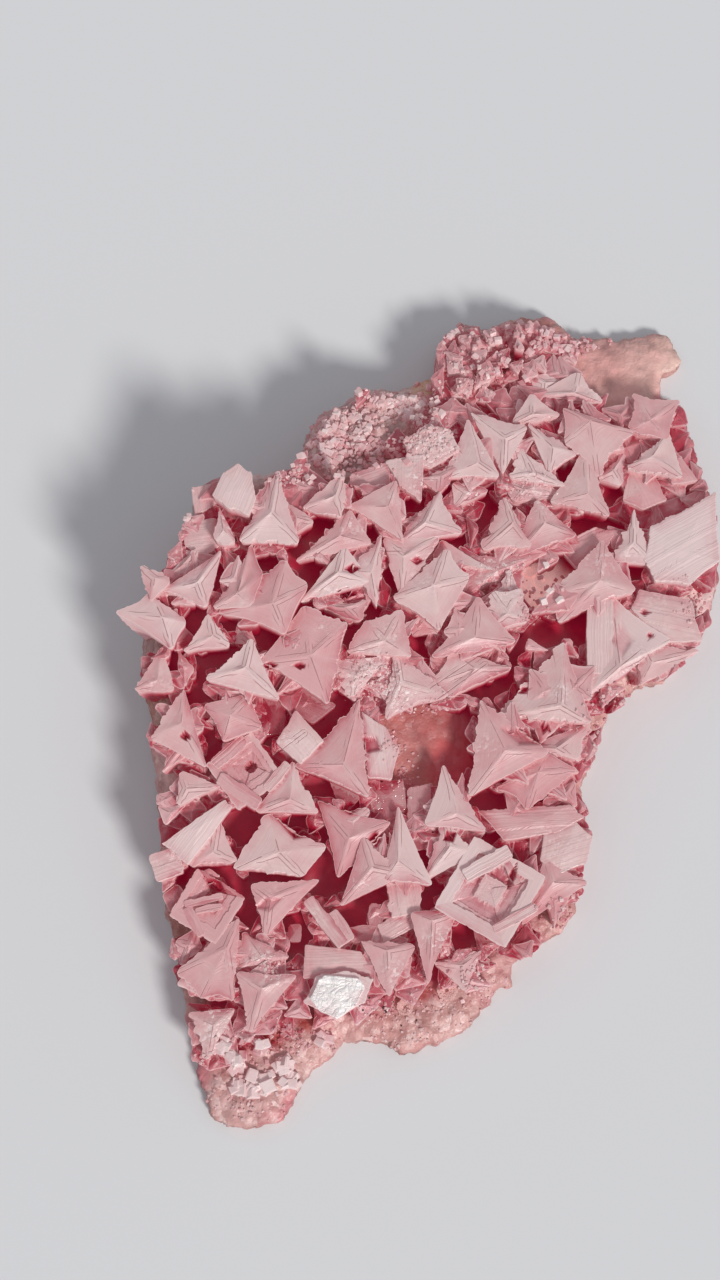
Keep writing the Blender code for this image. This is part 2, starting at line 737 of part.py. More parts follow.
def build():
    """Clears the scene and makes every piece."""
    global parts, tools
    for item in list(bpy.data.objects):
        bpy.data.objects.remove(item, do_unlink=True)
    parts = bpy.data.collections.new("Halite specimen")
    tools = bpy.data.collections.new("Cutters")
    bpy.context.scene.collection.children.link(parts)
    bpy.context.scene.collection.children.link(tools)
    salt_crust()
    pink = material("pink halite", (0.76, 0.44, 0.45), 0.45)
    earlier = []
    for name, clump in CLUMPS.items():
        for number, meshes in enumerate(grown_together(crystal_meshes(clump)), start=1):
            solid = link(meshes[0], name if number == 1 else f"{name}_{number}", parts)
            for mesh in meshes[1:]:
                join(solid, link(mesh, "crystal", tools), "UNION")
            for mesh in earlier:
                if touching(box_of(solid.data), box_of(mesh)):
                    join(solid, link(mesh, "clearance", tools), "DIFFERENCE")
            earlier += [swollen(mesh, CLEARANCE) for mesh in meshes]
            finish(solid, pink)


build()
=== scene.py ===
import json
import math

import bpy
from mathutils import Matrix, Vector
from mathutils.bvhtree import BVHTree
import numpy as np

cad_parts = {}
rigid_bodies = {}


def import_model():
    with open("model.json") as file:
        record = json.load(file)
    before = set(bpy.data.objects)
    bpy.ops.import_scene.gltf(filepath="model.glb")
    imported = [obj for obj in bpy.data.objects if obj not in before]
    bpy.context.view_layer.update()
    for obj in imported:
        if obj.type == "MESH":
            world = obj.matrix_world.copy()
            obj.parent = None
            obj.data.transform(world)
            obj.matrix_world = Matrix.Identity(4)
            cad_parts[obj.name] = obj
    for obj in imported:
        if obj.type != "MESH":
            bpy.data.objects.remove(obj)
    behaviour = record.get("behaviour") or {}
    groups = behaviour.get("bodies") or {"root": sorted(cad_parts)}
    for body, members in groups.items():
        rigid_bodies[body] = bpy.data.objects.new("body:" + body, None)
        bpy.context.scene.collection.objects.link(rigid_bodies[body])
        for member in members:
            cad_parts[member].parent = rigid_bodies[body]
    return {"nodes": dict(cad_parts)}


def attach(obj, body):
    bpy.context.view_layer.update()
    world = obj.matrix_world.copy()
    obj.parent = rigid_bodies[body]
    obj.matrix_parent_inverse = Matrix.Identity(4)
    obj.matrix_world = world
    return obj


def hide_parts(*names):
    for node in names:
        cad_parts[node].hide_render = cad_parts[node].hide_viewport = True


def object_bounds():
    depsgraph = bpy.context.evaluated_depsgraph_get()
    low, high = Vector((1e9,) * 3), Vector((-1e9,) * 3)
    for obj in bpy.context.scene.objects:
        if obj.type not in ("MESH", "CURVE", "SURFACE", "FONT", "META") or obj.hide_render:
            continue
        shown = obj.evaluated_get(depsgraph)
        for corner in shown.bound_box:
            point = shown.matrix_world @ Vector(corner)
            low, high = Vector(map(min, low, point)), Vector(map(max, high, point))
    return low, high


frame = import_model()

solid_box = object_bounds()

# ---------------------------------------------------------------------------------------------------
# Salt crust. One plate of massive pink salt, thick at one side, that the crystals grew from. It was
# broken off its bed, so its rim is ragged and its underside is one flat break. It is crimson where
# crystals shelter it, and dusty pink to orange with white frost where it lies open.
# ---------------------------------------------------------------------------------------------------

MM = 0.001

# Places are laid out as spots on a grid that faces the eye: steps across from the left, steps down.
SPOT_SIZE = 0.0002                               # one step of the grid
SPOT_MIDDLE = (360.0, 640.0)                     # the spot that the eye looks at
EYE_TILT = math.radians(72.0)                    # how steeply the eye looks down
EYE_REACH = 0.380                                # from the eye to what it looks at
EYE_AIM = np.array([0.0, 0.0, 0.014])
EYE_UP = np.array([0.0, math.sin(EYE_TILT), math.cos(EYE_TILT)])
EYE_AWAY = np.array([0.0, -math.cos(EYE_TILT), math.sin(EYE_TILT)])
EYE = EYE_AIM + EYE_REACH * EYE_AWAY
PLATE_SHIFT = np.array([-0.01362, 0.00839, 0.0])     # from the grid's frame to the part's

CRUST_BASE = 0.0035                              # thickness of the crust at its thin sides
MOUND_RISE = 0.0225                              # how far the thick side stands above that
MOUND_REACH = 0.058                              # distance over which it falls away
MOUND_TOP = (-0.034, 0.021)                      # where the crust is thickest
RIM_WIDTH = 0.006                                # band along the outline where the crust thins
RIM_LIFT = 0.0005                                # height of the outline's near side above the table
NEAR_SIDE = 0.35                                 # share of a rim line's run that is across the near side
CRUST_NET = 0.00055                              # spacing of the crust's surface points
RIM_RAGGED = 0.0006                              # how far the broken rim wanders
COURSES = 7                                      # courses of points down the crust's sides
WALL_TINT = (0.54, 0.27, 0.25)                   # colour of the crust's sides
WALL_FROST = 0.35                                # how sugary its sides are
SETTLING = 7                                     # rounds that settle a height along its sight line

OUTLINE = [
    (437, 345), (460, 326), (490, 328), (515, 317), (553, 320), (575, 335), (610, 340), (650, 335),
    (668, 337), (685, 362), (662, 380), (660, 398), (682, 404), (692, 440), (702, 480), (716, 500),
    (718, 560), (716, 600), (702, 640), (662, 684), (640, 690), (612, 714), (598, 745), (588, 775),
    (583, 800), (590, 835), (582, 872), (577, 912), (562, 936), (540, 946), (515, 966), (510, 985),
    (494, 990), (486, 1008), (465, 1030), (440, 1048), (402, 1058), (386, 1045), (345, 1044),
    (330, 1060), (310, 1072), (297, 1100), (282, 1125), (245, 1130), (212, 1122), (203, 1100),
    (197, 1070), (190, 1030), (178, 985), (171, 940), (163, 900), (159, 850), (157, 800), (151, 750),
    (146, 700), (140, 650), (146, 600), (168, 560), (190, 520), (198, 490), (225, 478), (262, 478),
    (292, 470), (303, 440), (320, 415), (345, 402), (362, 391), (400, 388), (435, 378),
]

# Open ground, by its spot, reach in steps, colour, frost and lumpiness.
OPEN_GROUND = [
    ((422, 745), 50, (0.46, 0.135, 0.125), 0.25, 0.06),      # the bare patch in the middle
    ((398, 748), 24, (0.52, 0.215, 0.195), 0.40, 0.10),
    ((452, 760), 30, (0.56, 0.08, 0.085), 0.02, 0.05),
    ((536, 586), 34, (0.92, 0.56, 0.53), 0.6, 0.4),       # the channel on the right, its tint painted lighter against the crystals' shade
    ((352, 440), 44, (0.50, 0.25, 0.25), 0.75, 1.0),      # the shoulder at the upper left
    ((318, 448), 26, (0.60, 0.30, 0.30), 0.9, 1.0),
    ((346, 456), 20, (0.30, 0.08, 0.08), 0.3, 0.8),
    ((395, 408), 34, (0.62, 0.36, 0.34), 1.0, 0.9),
    ((424, 385), 13, (0.72, 0.38, 0.24), 0.2, 0.4),
    ((462, 352), 30, (0.56, 0.27, 0.27), 0.8, 1.0),       # the lobes at the narrow end
    ((505, 358), 34, (0.50, 0.17, 0.18), 0.6, 1.0),
    ((520, 330), 24, (0.56, 0.20, 0.18), 0.5, 1.0),
    ((478, 385), 24, (0.60, 0.30, 0.30), 0.7, 1.0),
    ((560, 345), 26, (0.54, 0.22, 0.20), 0.3, 0.7),
    ((600, 362), 34, (0.68, 0.34, 0.315), 0.20, 0.25),     # the thin flap beside them
    ((645, 360), 30, (0.72, 0.41, 0.37), 0.15, 0.2),
    ((674, 372), 18, (0.78, 0.52, 0.45), 0.1, 0.2),
    ((668, 348), 14, (0.76, 0.48, 0.42), 0.1, 0.2),
    ((616, 388), 20, (0.68, 0.35, 0.32), 0.15, 0.2),
    ((648, 388), 16, (0.72, 0.41, 0.37), 0.15, 0.2),
    ((692, 600), 26, (0.88, 0.62, 0.60), 0.5, 0.3),       # the rim along the right
    ((640, 672), 34, (0.64, 0.33, 0.30), 0.5, 0.45),
    ((604, 720), 22, (0.64, 0.33, 0.30), 0.5, 0.45),
    ((592, 790), 16, (0.62, 0.33, 0.30), 0.4, 0.5),
    ((560, 922), 28, (0.60, 0.29, 0.27), 0.5, 0.5),
    ((500, 975), 26, (0.60, 0.29, 0.28), 0.6, 0.5),
    ((455, 1015), 36, (0.61, 0.305, 0.285), 0.8, 0.40),      # the shelf at the near side
    ((400, 1028), 34, (0.60, 0.285, 0.265), 0.8, 0.40),
    ((345, 1035), 26, (0.62, 0.31, 0.29), 0.9, 0.45),
    ((300, 1060), 34, (0.62, 0.32, 0.30), 0.9, 0.5),
    ((245, 1090), 40, (0.58, 0.30, 0.285), 0.9, 0.45),
    ((230, 1118), 26, (0.62, 0.34, 0.32), 0.8, 0.4),
    ((271, 1040), 15, (0.40, 0.04, 0.04), 0.1, 0.5),
    ((310, 1020), 11, (0.48, 0.08, 0.07), 0.2, 0.5),
    ((396, 990), 9, (0.45, 0.07, 0.07), 0.2, 0.4),
    ((422, 990), 9, (0.45, 0.07, 0.07), 0.2, 0.4),
    ((146, 640), 22, (0.34, 0.13, 0.12), 0.3, 0.4),       # the steep side at the left, its darker tints painted shade
    ((152, 710), 26, (0.36, 0.10, 0.07), 0.3, 0.4),
    ((158, 775), 26, (0.58, 0.27, 0.26), 0.5, 0.4),
    ((168, 850), 20, (0.55, 0.24, 0.22), 0.4, 0.4),
    ((176, 925), 22, (0.36, 0.11, 0.09), 0.3, 0.5),
    ((186, 1000), 20, (0.52, 0.22, 0.20), 0.4, 0.5),
    ((200, 500), 18, (0.50, 0.30, 0.30), 0.6, 0.6),
    ((262, 480), 22, (0.58, 0.34, 0.33), 0.7, 0.6),
]
SHELTERED = (0.58, 0.20, 0.22)                   # salmon pink under crystals
DEPTHS = (0.42, 0.008, 0.034)                    # crimson in the open spaces between them
# Where open ground passes light on: spot, reach, share of the crimson light, more of its own tint.
GLOWS = [
    ((422, 745), 46, 0.4, 0.0), ((452, 764), 26, 1.1, 0.0), ((460, 722), 20, 0.9, 0.0),
    ((540, 588), 34, 0.0, 0.26), ((420, 785), 26, 0.0, 0.10), ((646, 386), 44, 0.0, 0.05),
]
INNER_LIGHT = (0.072, 0.0010, 0.0080, 1.0)       # daylight that the salt passes on into those spaces

# Open spaces between crystals, where one looks down to the crimson crust: middle, half length, half
# width, turn in degrees.
GAPS = np.array([
    (513, 355, 6, 3, 95), (505, 369, 5, 4, -173), (486, 407, 8, 4, -159), (355, 463, 8, 7, -170),
    (570, 465, 9, 3, 136), (562, 475, 8, 5, 54), (488, 484, 8, 4, -172), (445, 492, 10, 4, 93),
    (613, 493, 11, 9, 93), (481, 498, 7, 4, 156), (414, 503, 12, 8, 160), (488, 515, 19, 6, 120),
    (599, 521, 12, 5, 166), (616, 524, 11, 4, 49), (318, 525, 22, 9, 141), (582, 525, 12, 10, 65),
    (369, 530, 11, 7, -146), (452, 539, 13, 4, -162), (295, 549, 9, 6, 178), (267, 562, 10, 9, -175),
    (296, 564, 9, 4, 50), (632, 569, 11, 6, -171), (311, 571, 14, 9, 129), (564, 571, 13, 10, 112),
    (217, 572, 8, 7, 130), (392, 578, 11, 7, 64), (252, 586, 6, 4, 70), (214, 587, 6, 4, 122),
    (346, 590, 6, 5, -167), (293, 594, 8, 6, 112), (304, 596, 12, 7, 57), (295, 609, 12, 9, 170),
    (374, 613, 12, 6, 107), (324, 618, 20, 10, 179), (228, 621, 11, 7, 74), (193, 622, 19, 10, 123),
    (578, 626, 18, 14, 89), (353, 631, 15, 5, 118), (547, 631, 18, 13, -176), (417, 634, 10, 7, 130),
    (267, 637, 17, 12, -149), (419, 648, 13, 5, -147), (519, 648, 20, 4, 114), (219, 655, 21, 9, 159),
    (174, 662, 13, 5, 82), (200, 678, 13, 5, 91), (505, 679, 11, 6, 136), (227, 687, 15, 3, -175),
    (483, 690, 20, 9, 178), (163, 695, 11, 7, -178), (195, 696, 13, 8, 164), (339, 705, 15, 12, 85),
    (464, 714, 10, 5, 126), (276, 725, 16, 5, 118), (324, 726, 15, 12, 163), (208, 735, 7, 5, 47),
    (457, 739, 14, 7, 71), (215, 750, 13, 3, 126), (450, 757, 11, 5, 150), (462, 759, 11, 5, 89),
    (251, 766, 8, 4, -155), (417, 778, 14, 8, 151), (506, 778, 7, 3, 135), (388, 783, 9, 5, 180),
    (404, 785, 12, 6, 74), (323, 786, 22, 10, -167), (536, 799, 9, 5, 129), (353, 801, 10, 7, 99),
    (489, 801, 19, 10, -177), (297, 821, 8, 7, -137), (247, 827, 25, 18, -149), (322, 833, 11, 2, 66),
    (491, 839, 9, 5, 136), (418, 858, 20, 9, 96), (320, 864, 16, 11, 116), (216, 866, 13, 5, -170),
    (304, 867, 14, 4, 90), (190, 873, 17, 7, 154), (228, 874, 11, 6, 101), (266, 874, 17, 8, 179),
    (289, 877, 12, 6, -169), (335, 880, 24, 10, 139), (439, 887, 8, 4, 55), (240, 888, 13, 10, 70),
    (212, 891, 7, 5, 137), (371, 897, 17, 11, 138), (427, 899, 11, 8, 102), (247, 912, 13, 11, 67),
    (353, 917, 15, 13, 65), (297, 921, 12, 10, 153), (461, 936, 14, 10, 104), (300, 940, 13, 9, 145),
    (435, 976, 9, 4, 86), (217, 1003, 8, 4, 176), (269, 1039, 9, 5, -155), (245, 1049, 7, 5, 144),
    (255, 1057, 9, 7, 55),
], dtype=float)


def laid(spots, heights):
    """Points at given heights under layout spots: each is where the line from the eye through its spot
    meets its height."""
    spots = np.atleast_2d(np.asarray(spots, dtype=float))
    drawn = EYE_AIM + ((SPOT_MIDDLE[1] - spots[:, 1]) * SPOT_SIZE)[:, None] * EYE_UP
    drawn[:, 0] += (spots[:, 0] - SPOT_MIDDLE[0]) * SPOT_SIZE
    share = (heights - EYE[2]) / (drawn[:, 2] - EYE[2])
    return EYE + share[:, None] * (drawn - EYE) + PLATE_SHIFT


def spots_of(points):
    """The layout spots over points: where the lines from the eye to them meet the layout's plane."""
    away = points - PLATE_SHIFT - EYE
    share = ((EYE_AIM - EYE) @ EYE_AWAY) / (away @ EYE_AWAY)
    drawn = EYE + share[:, None] * away - EYE_AIM
    across = SPOT_MIDDLE[0] + drawn[:, 0] / SPOT_SIZE
    return np.stack([across, SPOT_MIDDLE[1] - (drawn @ EYE_UP) / SPOT_SIZE], axis=1)


def mound(x, y):
    """Height of the crust away from its rim: a base plus one Gaussian mound."""
    east = x - MOUND_TOP[0] - PLATE_SHIFT[0]
    north = y - MOUND_TOP[1] - PLATE_SHIFT[1]
    return CRUST_BASE + MOUND_RISE * np.exp(-(east ** 2 + north ** 2) / MOUND_REACH ** 2)


def standing(spots, rise, below=mound):
    """Points that stand a rise above the mound: the sight line's height is set to the mound's there
    plus the rise, over and over until it settles."""
    points = laid(spots, CRUST_BASE + rise)
    for _ in range(SETTLING):
        points = laid(spots, below(points[:, 0], points[:, 1]) + rise)
    return points


def crust_rim():
    """The outline on the ground: near points at the foot of the rim, the others at its top."""
    spots = np.array(OUTLINE, dtype=float)
    run = np.roll(spots, -1, axis=0) - np.roll(spots, 1, axis=0)
    near = run[:, 0] / np.hypot(run[:, 0], run[:, 1]) < -NEAR_SIDE
    top = standing(spots, RIM_LIFT, lambda x, y: 0.5 * mound(x, y))
    return np.where(near[:, None], laid(spots, RIM_LIFT), top)[:, :2]


RIM = crust_rim()


def inside_rim(x, y):
    """Distance to the outline, positive inside it: the nearest of the outline's straight runs, with the
    sign from counting how many runs lie to one side."""
    run = np.roll(RIM, -1, axis=0) - RIM
    away = np.stack([x[:, None] - RIM[:, 0], y[:, None] - RIM[:, 1]], axis=-1)
    share = np.clip((away * run).sum(-1) / (run ** 2).sum(-1), 0.0, 1.0)
    nearest = np.sqrt(((away - share[..., None] * run) ** 2).sum(-1)).min(axis=1)
    over = RIM[:, 1] > y[:, None]
    spans = over != np.roll(over, -1, axis=1)
    crossing = RIM[:, 0] + (y[:, None] - RIM[:, 1]) * run[:, 0] / run[:, 1]
    odd = (spans & (x[:, None] < crossing)).sum(axis=1) % 2 == 1
    return np.where(odd, nearest, -nearest)


def crust_height(x, y, inward):
    """The mound, brought down to half its height along the rim by a rounded shoulder."""
    full = mound(x, y)
    low = 0.5 * full + RIM_LIFT
    ease = np.clip(inward / RIM_WIDTH, 0.0, 1.0)
    return low + (full - low) * ease * (2.0 - ease)


def swell(x, y, size, seed):
    """Smooth random values from -1 to 1: random numbers on a square net, eased from knot to knot."""
    net = np.random.default_rng(seed).uniform(-1.0, 1.0, (257, 257))
    u, v = x / size + 500.3, y / size + 500.7
    i, j = np.floor(u).astype(int), np.floor(v).astype(int)
    fu, fv = u - i, v - j
    fu, fv = fu * fu * (3 - 2 * fu), fv * fv * (3 - 2 * fv)
    i, j = i % 256, j % 256
    low = net[i, j] * (1 - fu) + net[i + 1, j] * fu
    high = net[i, j + 1] * (1 - fu) + net[i + 1, j + 1] * fu
    return low * (1 - fv) + high * fv


def crumbs(x, y, size, seed):
    """Heights from 0 to 1 of salt grains: each net square holds one turned, tilted cube top, and the
    highest that covers a point counts."""
    dice = np.random.default_rng(seed).uniform(0.0, 1.0, (6, 256, 256))
    u, v = x / size + 300.0, y / size + 300.0
    i, j = np.floor(u).astype(int), np.floor(v).astype(int)
    best = np.zeros(len(x))
    for across in (-1, 0, 1):
        for up in (-1, 0, 1):
            a, b = (i + across) % 256, (j + up) % 256
            dx = u - (i + across + 0.2 + 0.6 * dice[0, a, b])
            dy = v - (j + up + 0.2 + 0.6 * dice[1, a, b])
            turn = dice[2, a, b] * math.pi / 2
            du, dv = dx * np.cos(turn) + dy * np.sin(turn), dy * np.cos(turn) - dx * np.sin(turn)
            bulk, lean_u, lean_v = dice[3, a, b], dice[4, a, b] - 0.5, dice[5, a, b] - 0.5
            top = 0.35 + 0.65 * bulk + 0.6 * lean_u * du + 0.6 * lean_v * dv
            inside = 0.35 + 0.3 * bulk - np.maximum(abs(du), abs(dv))
            best = np.maximum(best, top * np.clip(inside / 0.10, 0.0, 1.0))
    return best


def into_gaps(spots, margin):
    """Squared distance from the nearest open space's middle, 1 at the edge of its ellipse, which is
    widened by a margin."""
    turn = np.radians(GAPS[:, 4])
    east, down = spots[:, None, 0] - GAPS[:, 0], spots[:, None, 1] - GAPS[:, 1]
    along = (east * np.cos(turn) + down * np.sin(turn)) / (GAPS[:, 2] + margin)
    aside = (down * np.cos(turn) - east * np.sin(turn)) / (GAPS[:, 3] + margin)
    return (along ** 2 + aside ** 2).min(axis=1)


def patch(spots, middle, reach):
    """A round patch about a layout spot, 1 at its middle and near 0 past its reach: a bell over the
    fourth power of the distance, so flat on top."""
    away = (spots[:, 0] - middle[0]) ** 2 + (spots[:, 1] - middle[1]) ** 2
    return np.exp(-away ** 2 / reach ** 4)


def openness(spots):
    """How open the ground is at layout spots, 0 to 1."""
    shut = np.ones(len(spots))
    for middle, reach, _, _, _ in OPEN_GROUND:
        shut *= 1.0 - patch(spots, middle, reach)
    return 1.0 - shut


def ground(points):
    """Tint, frost and lumpiness of the crust at points, and how deep they lie in an open space: each
    patch of open ground counts by the square of its strength there, and the rest is sheltered."""
    spots = spots_of(points)
    moved = spots + 6.0 * np.stack([swell(spots[:, 0], spots[:, 1], 14.0, seed) for seed in (5, 6)], 1)
    total = np.full(len(points), 1e-4)
    tint = total[:, None] * np.array(SHELTERED)
    frost, lumps = np.zeros((2, len(points)))
    for middle, reach, colour, white, rough in OPEN_GROUND:
        share = patch(moved, middle, reach) ** 2
        total += share
        tint += share[:, None] * np.array(colour)
        frost += share * white
        lumps += share * rough
    mix = np.clip(openness(moved) * 1.6 - 0.25, 0.0, 1.0)
    down = np.exp(-into_gaps(spots, 5.0) ** 2) * (1 - mix)
    sheltered = np.array(SHELTERED) * (1 - down[:, None]) + np.array(DEPTHS) * down[:, None]
    tint = tint / total[:, None] * mix[:, None] + sheltered * (1 - mix[:, None])
    return tint, frost / total * mix, lumps / total * mix, down


def new_piece(name, points, faces, smooth=False):
    """A mesh object from points and faces, with the object left at the origin."""
    mesh = bpy.data.meshes.new(name)
    mesh.from_pydata(points, [], faces)
    mesh.polygons.foreach_set("use_smooth", np.full(len(mesh.polygons), smooth))
    mesh.update()
    piece = bpy.data.objects.new(name, mesh)
    bpy.context.scene.collection.objects.link(piece)
    return piece


def give(piece, name, values):
    """One number, or one colour, for each point of a piece, for its material to read."""
    values = np.asarray(values, dtype=np.float32)
    if values.ndim == 1:
        layer = piece.data.attributes.new(name, "FLOAT", "POINT")
        layer.data.foreach_set("value", values)
    else:
        layer = piece.data.attributes.new(name, "FLOAT_COLOR", "POINT")
        opaque = np.ones((len(values), 1), dtype=np.float32)
        layer.data.foreach_set("color", np.hstack([values, opaque]).ravel())


def in_box(points):
    """Points, held inside the box of the solids."""
    return np.clip(points, *np.array(solid_box))


def passed_on(points, down):
    """The share of crimson light and the light of its own tint that ground passes on, at points."""
    spots, lit = spots_of(points), np.full(len(points), 0.055)
    for middle, reach, crimson, more in GLOWS:
        near = patch(spots, middle, reach)
        down = np.maximum(down, crimson * near)
        lit += more * near
    return down, lit


def plate_net():
    """A square net cut to the ragged outline: its points' x, y, distance inwards and slope of that
    distance, and its quads."""
    low, high = RIM.min(axis=0) - 2 * CRUST_NET, RIM.max(axis=0) + 2 * CRUST_NET
    gx, gy = np.meshgrid(*(np.arange(start, end, CRUST_NET) for start, end in zip(low, high)))
    inward = inside_rim(gx.ravel(), gy.ravel()).reshape(gx.shape)
    slope_y, slope_x = np.gradient(inward, CRUST_NET)
    inward = inward + RIM_RAGGED * (swell(gx, gy, 0.0035, 1) + 0.6 * swell(gx, gy, 0.0013, 2)) - 0.0004
    good = inward > -0.5 * CRUST_NET
    whole = good[:-1, :-1] & good[1:, :-1] & good[:-1, 1:] & good[1:, 1:]
    number = np.arange(gx.size).reshape(gx.shape)
    corners = (number[:-1, :-1], number[:-1, 1:], number[1:, 1:], number[1:, :-1])
    used, quads = np.unique(np.stack([corner[whole] for corner in corners], axis=1), return_inverse=True)
    return [column.ravel()[used] for column in (gx, gy, inward, slope_x, slope_y)], quads.reshape(-1, 4)


def lone_edges(quads, count):
    """Starts and ends of the quads' edges that no other quad shares."""
    starts, ends = quads.ravel(), np.roll(quads, -1, axis=1).ravel()
    lone = ~np.isin(starts * count + ends, ends * count + starts)
    return starts[lone], ends[lone]


def crust_plate():
    """A net of points inside the outline, the outermost moved onto it; the top raised to the crust's
    height plus lumps and grains, the sides let down in courses, and the same net flat at the bottom."""
    (x, y, inside, slope_x, slope_y), quads = plate_net()
    count = len(x)
    starts, ends = lone_edges(quads, count)
    edge = np.unique(starts)
    push = np.zeros(count)
    push[edge] = inside[edge]
    x, y, inside = x - push * slope_x, y - push * slope_y, np.maximum(inside, 0.0)
    top = np.stack([x, y, crust_height(x, y, inside)], axis=1)
    lumps = ground(top)[2]
    relief = 0.0009 * swell(x, y, 0.0040, 3) + 0.0005 * swell(x, y, 0.0017, 4)
    grain = crumbs(x, y, 0.0016, 7)
    top[:, 2] += lumps * relief + (0.0001 + 0.00085 * lumps) * grain * np.clip(inside / 0.001, 0.3, 1.0)
    sides = []
    for course in range(1, COURSES):
        line = top[edge]
        line[:, 2] *= 1.0 - course / COURSES
        bulge = RIM_RAGGED * (swell(line[:, 0] + line[:, 2], line[:, 1], 0.0019, 20 + course) - 0.2)
        line[:, 0] -= bulge * slope_x[edge]
        line[:, 1] -= bulge * slope_y[edge]
        sides.append(line)
    points = np.vstack([top, *sides, top * (1.0, 1.0, 0.0)])
    points[:, :2] = in_box(points)[:, :2]
    bottom = count + (COURSES - 1) * len(edge)
    rings = [edge, *np.arange(count, bottom).reshape(-1, len(edge)), edge + bottom]
    place = np.full(count, -1)
    place[edge] = np.arange(len(edge))
    a, b = place[starts], place[ends]
    walls = [np.stack([upper[b], upper[a], lower[a], lower[b]], 1) for upper, lower in zip(rings, rings[1:])]
    piece = new_piece("salt_crust_skin", points, np.vstack([quads, quads[:, ::-1] + bottom, *walls]), True)

    tint, frost, _, down = ground(points)
    down_sides = np.repeat(np.arange(1, COURSES) / COURSES, len(edge))
    fall = np.concatenate([np.zeros(count), down_sides, np.ones(count)])
    layers = 1.0 + 0.22 * swell(points[:, 2] * 2.5, points[:, 0] + points[:, 1], 0.0045, 31)
    aside = 0.85 * np.minimum(1.0, 3.0 * fall)
    tint += aside[:, None] * (np.array(WALL_TINT) * layers[:, None] - tint)
    frost += aside * (WALL_FROST - frost)
    down, lit = passed_on(points, down)
    for label, values in (("tint", tint), ("frost", frost), ("down", down), ("lit", lit)):
        give(piece, label, values)
    return piece


class Wiring:
    """A shader node tree that is being built. Each method adds a node, links or sets its inputs, and
    gives back the output that the next node needs."""

    def __init__(self, tree):
        self.tree = tree

    def feed(self, socket, value):
        """An input, linked to another node's output or set to a plain value."""
        if isinstance(value, bpy.types.NodeSocket):
            self.tree.links.new(value, socket)
        else:
            socket.default_value = value

    def node(self, kind, inputs, **values):
        """A node of any kind, further along the row than the one before it."""
        made = self.tree.nodes.new("ShaderNode" + kind)
        made.location.x = 200.0 * len(self.tree.nodes)
        for name, value in values.items():
            setattr(made, name, value)
        for socket, value in inputs.items():
            self.feed(made.inputs[socket], value)
        return made

    def math(self, operation, *inputs, **values):
        """A sum on numbers."""
        return self.node("Math", dict(enumerate(inputs)), operation=operation, **values).outputs[0]

    def vector(self, operation, *inputs):
        """A sum on colours, places or directions."""
        return self.node("VectorMath", dict(enumerate(inputs)), operation=operation).outputs[0]

    def ranged(self, value, low, high, start=0.0, end=1.0, **values):
        """A number carried from one range over to another, and held at its ends."""
        inputs = {"Value": value, "From Min": low, "From Max": high, "To Min": start, "To Max": end}
        return self.node("MapRange", inputs, **values).outputs[0]

    def mix(self, share, one, other):
        """Two colours mixed by a share."""
        return self.node("Mix", {0: share, 6: one, 7: other}, data_type="RGBA").outputs[2]

    def noise(self, where, scale, detail, roughness=0.5, output="Fac"):
        """Cloudy noise."""
        inputs = {"Vector": where, "Scale": scale, "Detail": detail, "Roughness": roughness}
        return self.node("TexNoise", inputs).outputs[output]

    def cells(self, where, scale, **values):
        """Cells around scattered points."""
        return self.node("TexVoronoi", {"Vector": where, "Scale": scale}, **values)

    def bump(self, height, strength, distance):
        """A normal bent by a height."""
        return self.node("Bump", {"Height": height, "Strength": strength, "Distance": distance}).outputs[0]

    def read(self, label, output="Fac"):
        """A value that the points of a piece carry."""
        return self.node("Attribute", {}, attribute_name=label).outputs[output]

    def where(self):
        """Places in the piece's own frame."""
        return self.node("TexCoord", {}).outputs["Object"]


def new_group(name, takes, gives):
    """A shader node group: its tree, its wiring, what comes in by name, and the node that takes what
    goes out."""
    tree = bpy.data.node_groups.new(name, "ShaderNodeTree")
    for label, kind in takes.items():
        tree.interface.new_socket(name=label, in_out="INPUT", socket_type="NodeSocket" + kind)
    for label in gives:
        tree.interface.new_socket(name=label, in_out="OUTPUT", socket_type="NodeSocketFloat")
    came, goes = tree.nodes.new("NodeGroupInput"), tree.nodes.new("NodeGroupOutput")
    return tree, Wiring(tree), came.outputs, goes.inputs


def sugar_group():
    """Sugary salt: small turned cubes and finer grains as a height, and a mask of their white faces."""
    takes = {"Vector": "Vector", "Grain": "Float"}
    tree, net, came, goes = new_group("sugary salt", takes, ("Height", "White"))
    bend = net.noise(came["Vector"], 900.0, 0.0, output="Color")
    moved = net.vector("ADD", came["Vector"], net.vector("MULTIPLY", bend, (0.0006, 0.0006, 0.0006)))
    sizes = (came["Grain"], net.math("MULTIPLY", came["Grain"], 2.7))
    cubes, small = (net.cells(moved, size, distance="CHEBYCHEV", feature="F1") for size in sizes)
    big_up, small_up = (net.math("SUBTRACT", 0.75, part.outputs["Distance"]) for part in (cubes, small))
    net.feed(goes["Height"], net.math("MULTIPLY_ADD", small_up, 0.4, big_up))
    net.feed(goes["White"], net.ranged(cubes.outputs["Color"], 0.62, 0.86))
    return tree


SUGAR = sugar_group()


def new_material(name, roughness):
    """A Principled material, its wiring and its shader's inputs."""
    made = bpy.data.materials.new(name)
    made.use_nodes = True
    shader = made.node_tree.nodes["Principled BSDF"]
    shader.inputs["Roughness"].default_value = roughness
    return made, Wiring(made.node_tree), shader.inputs


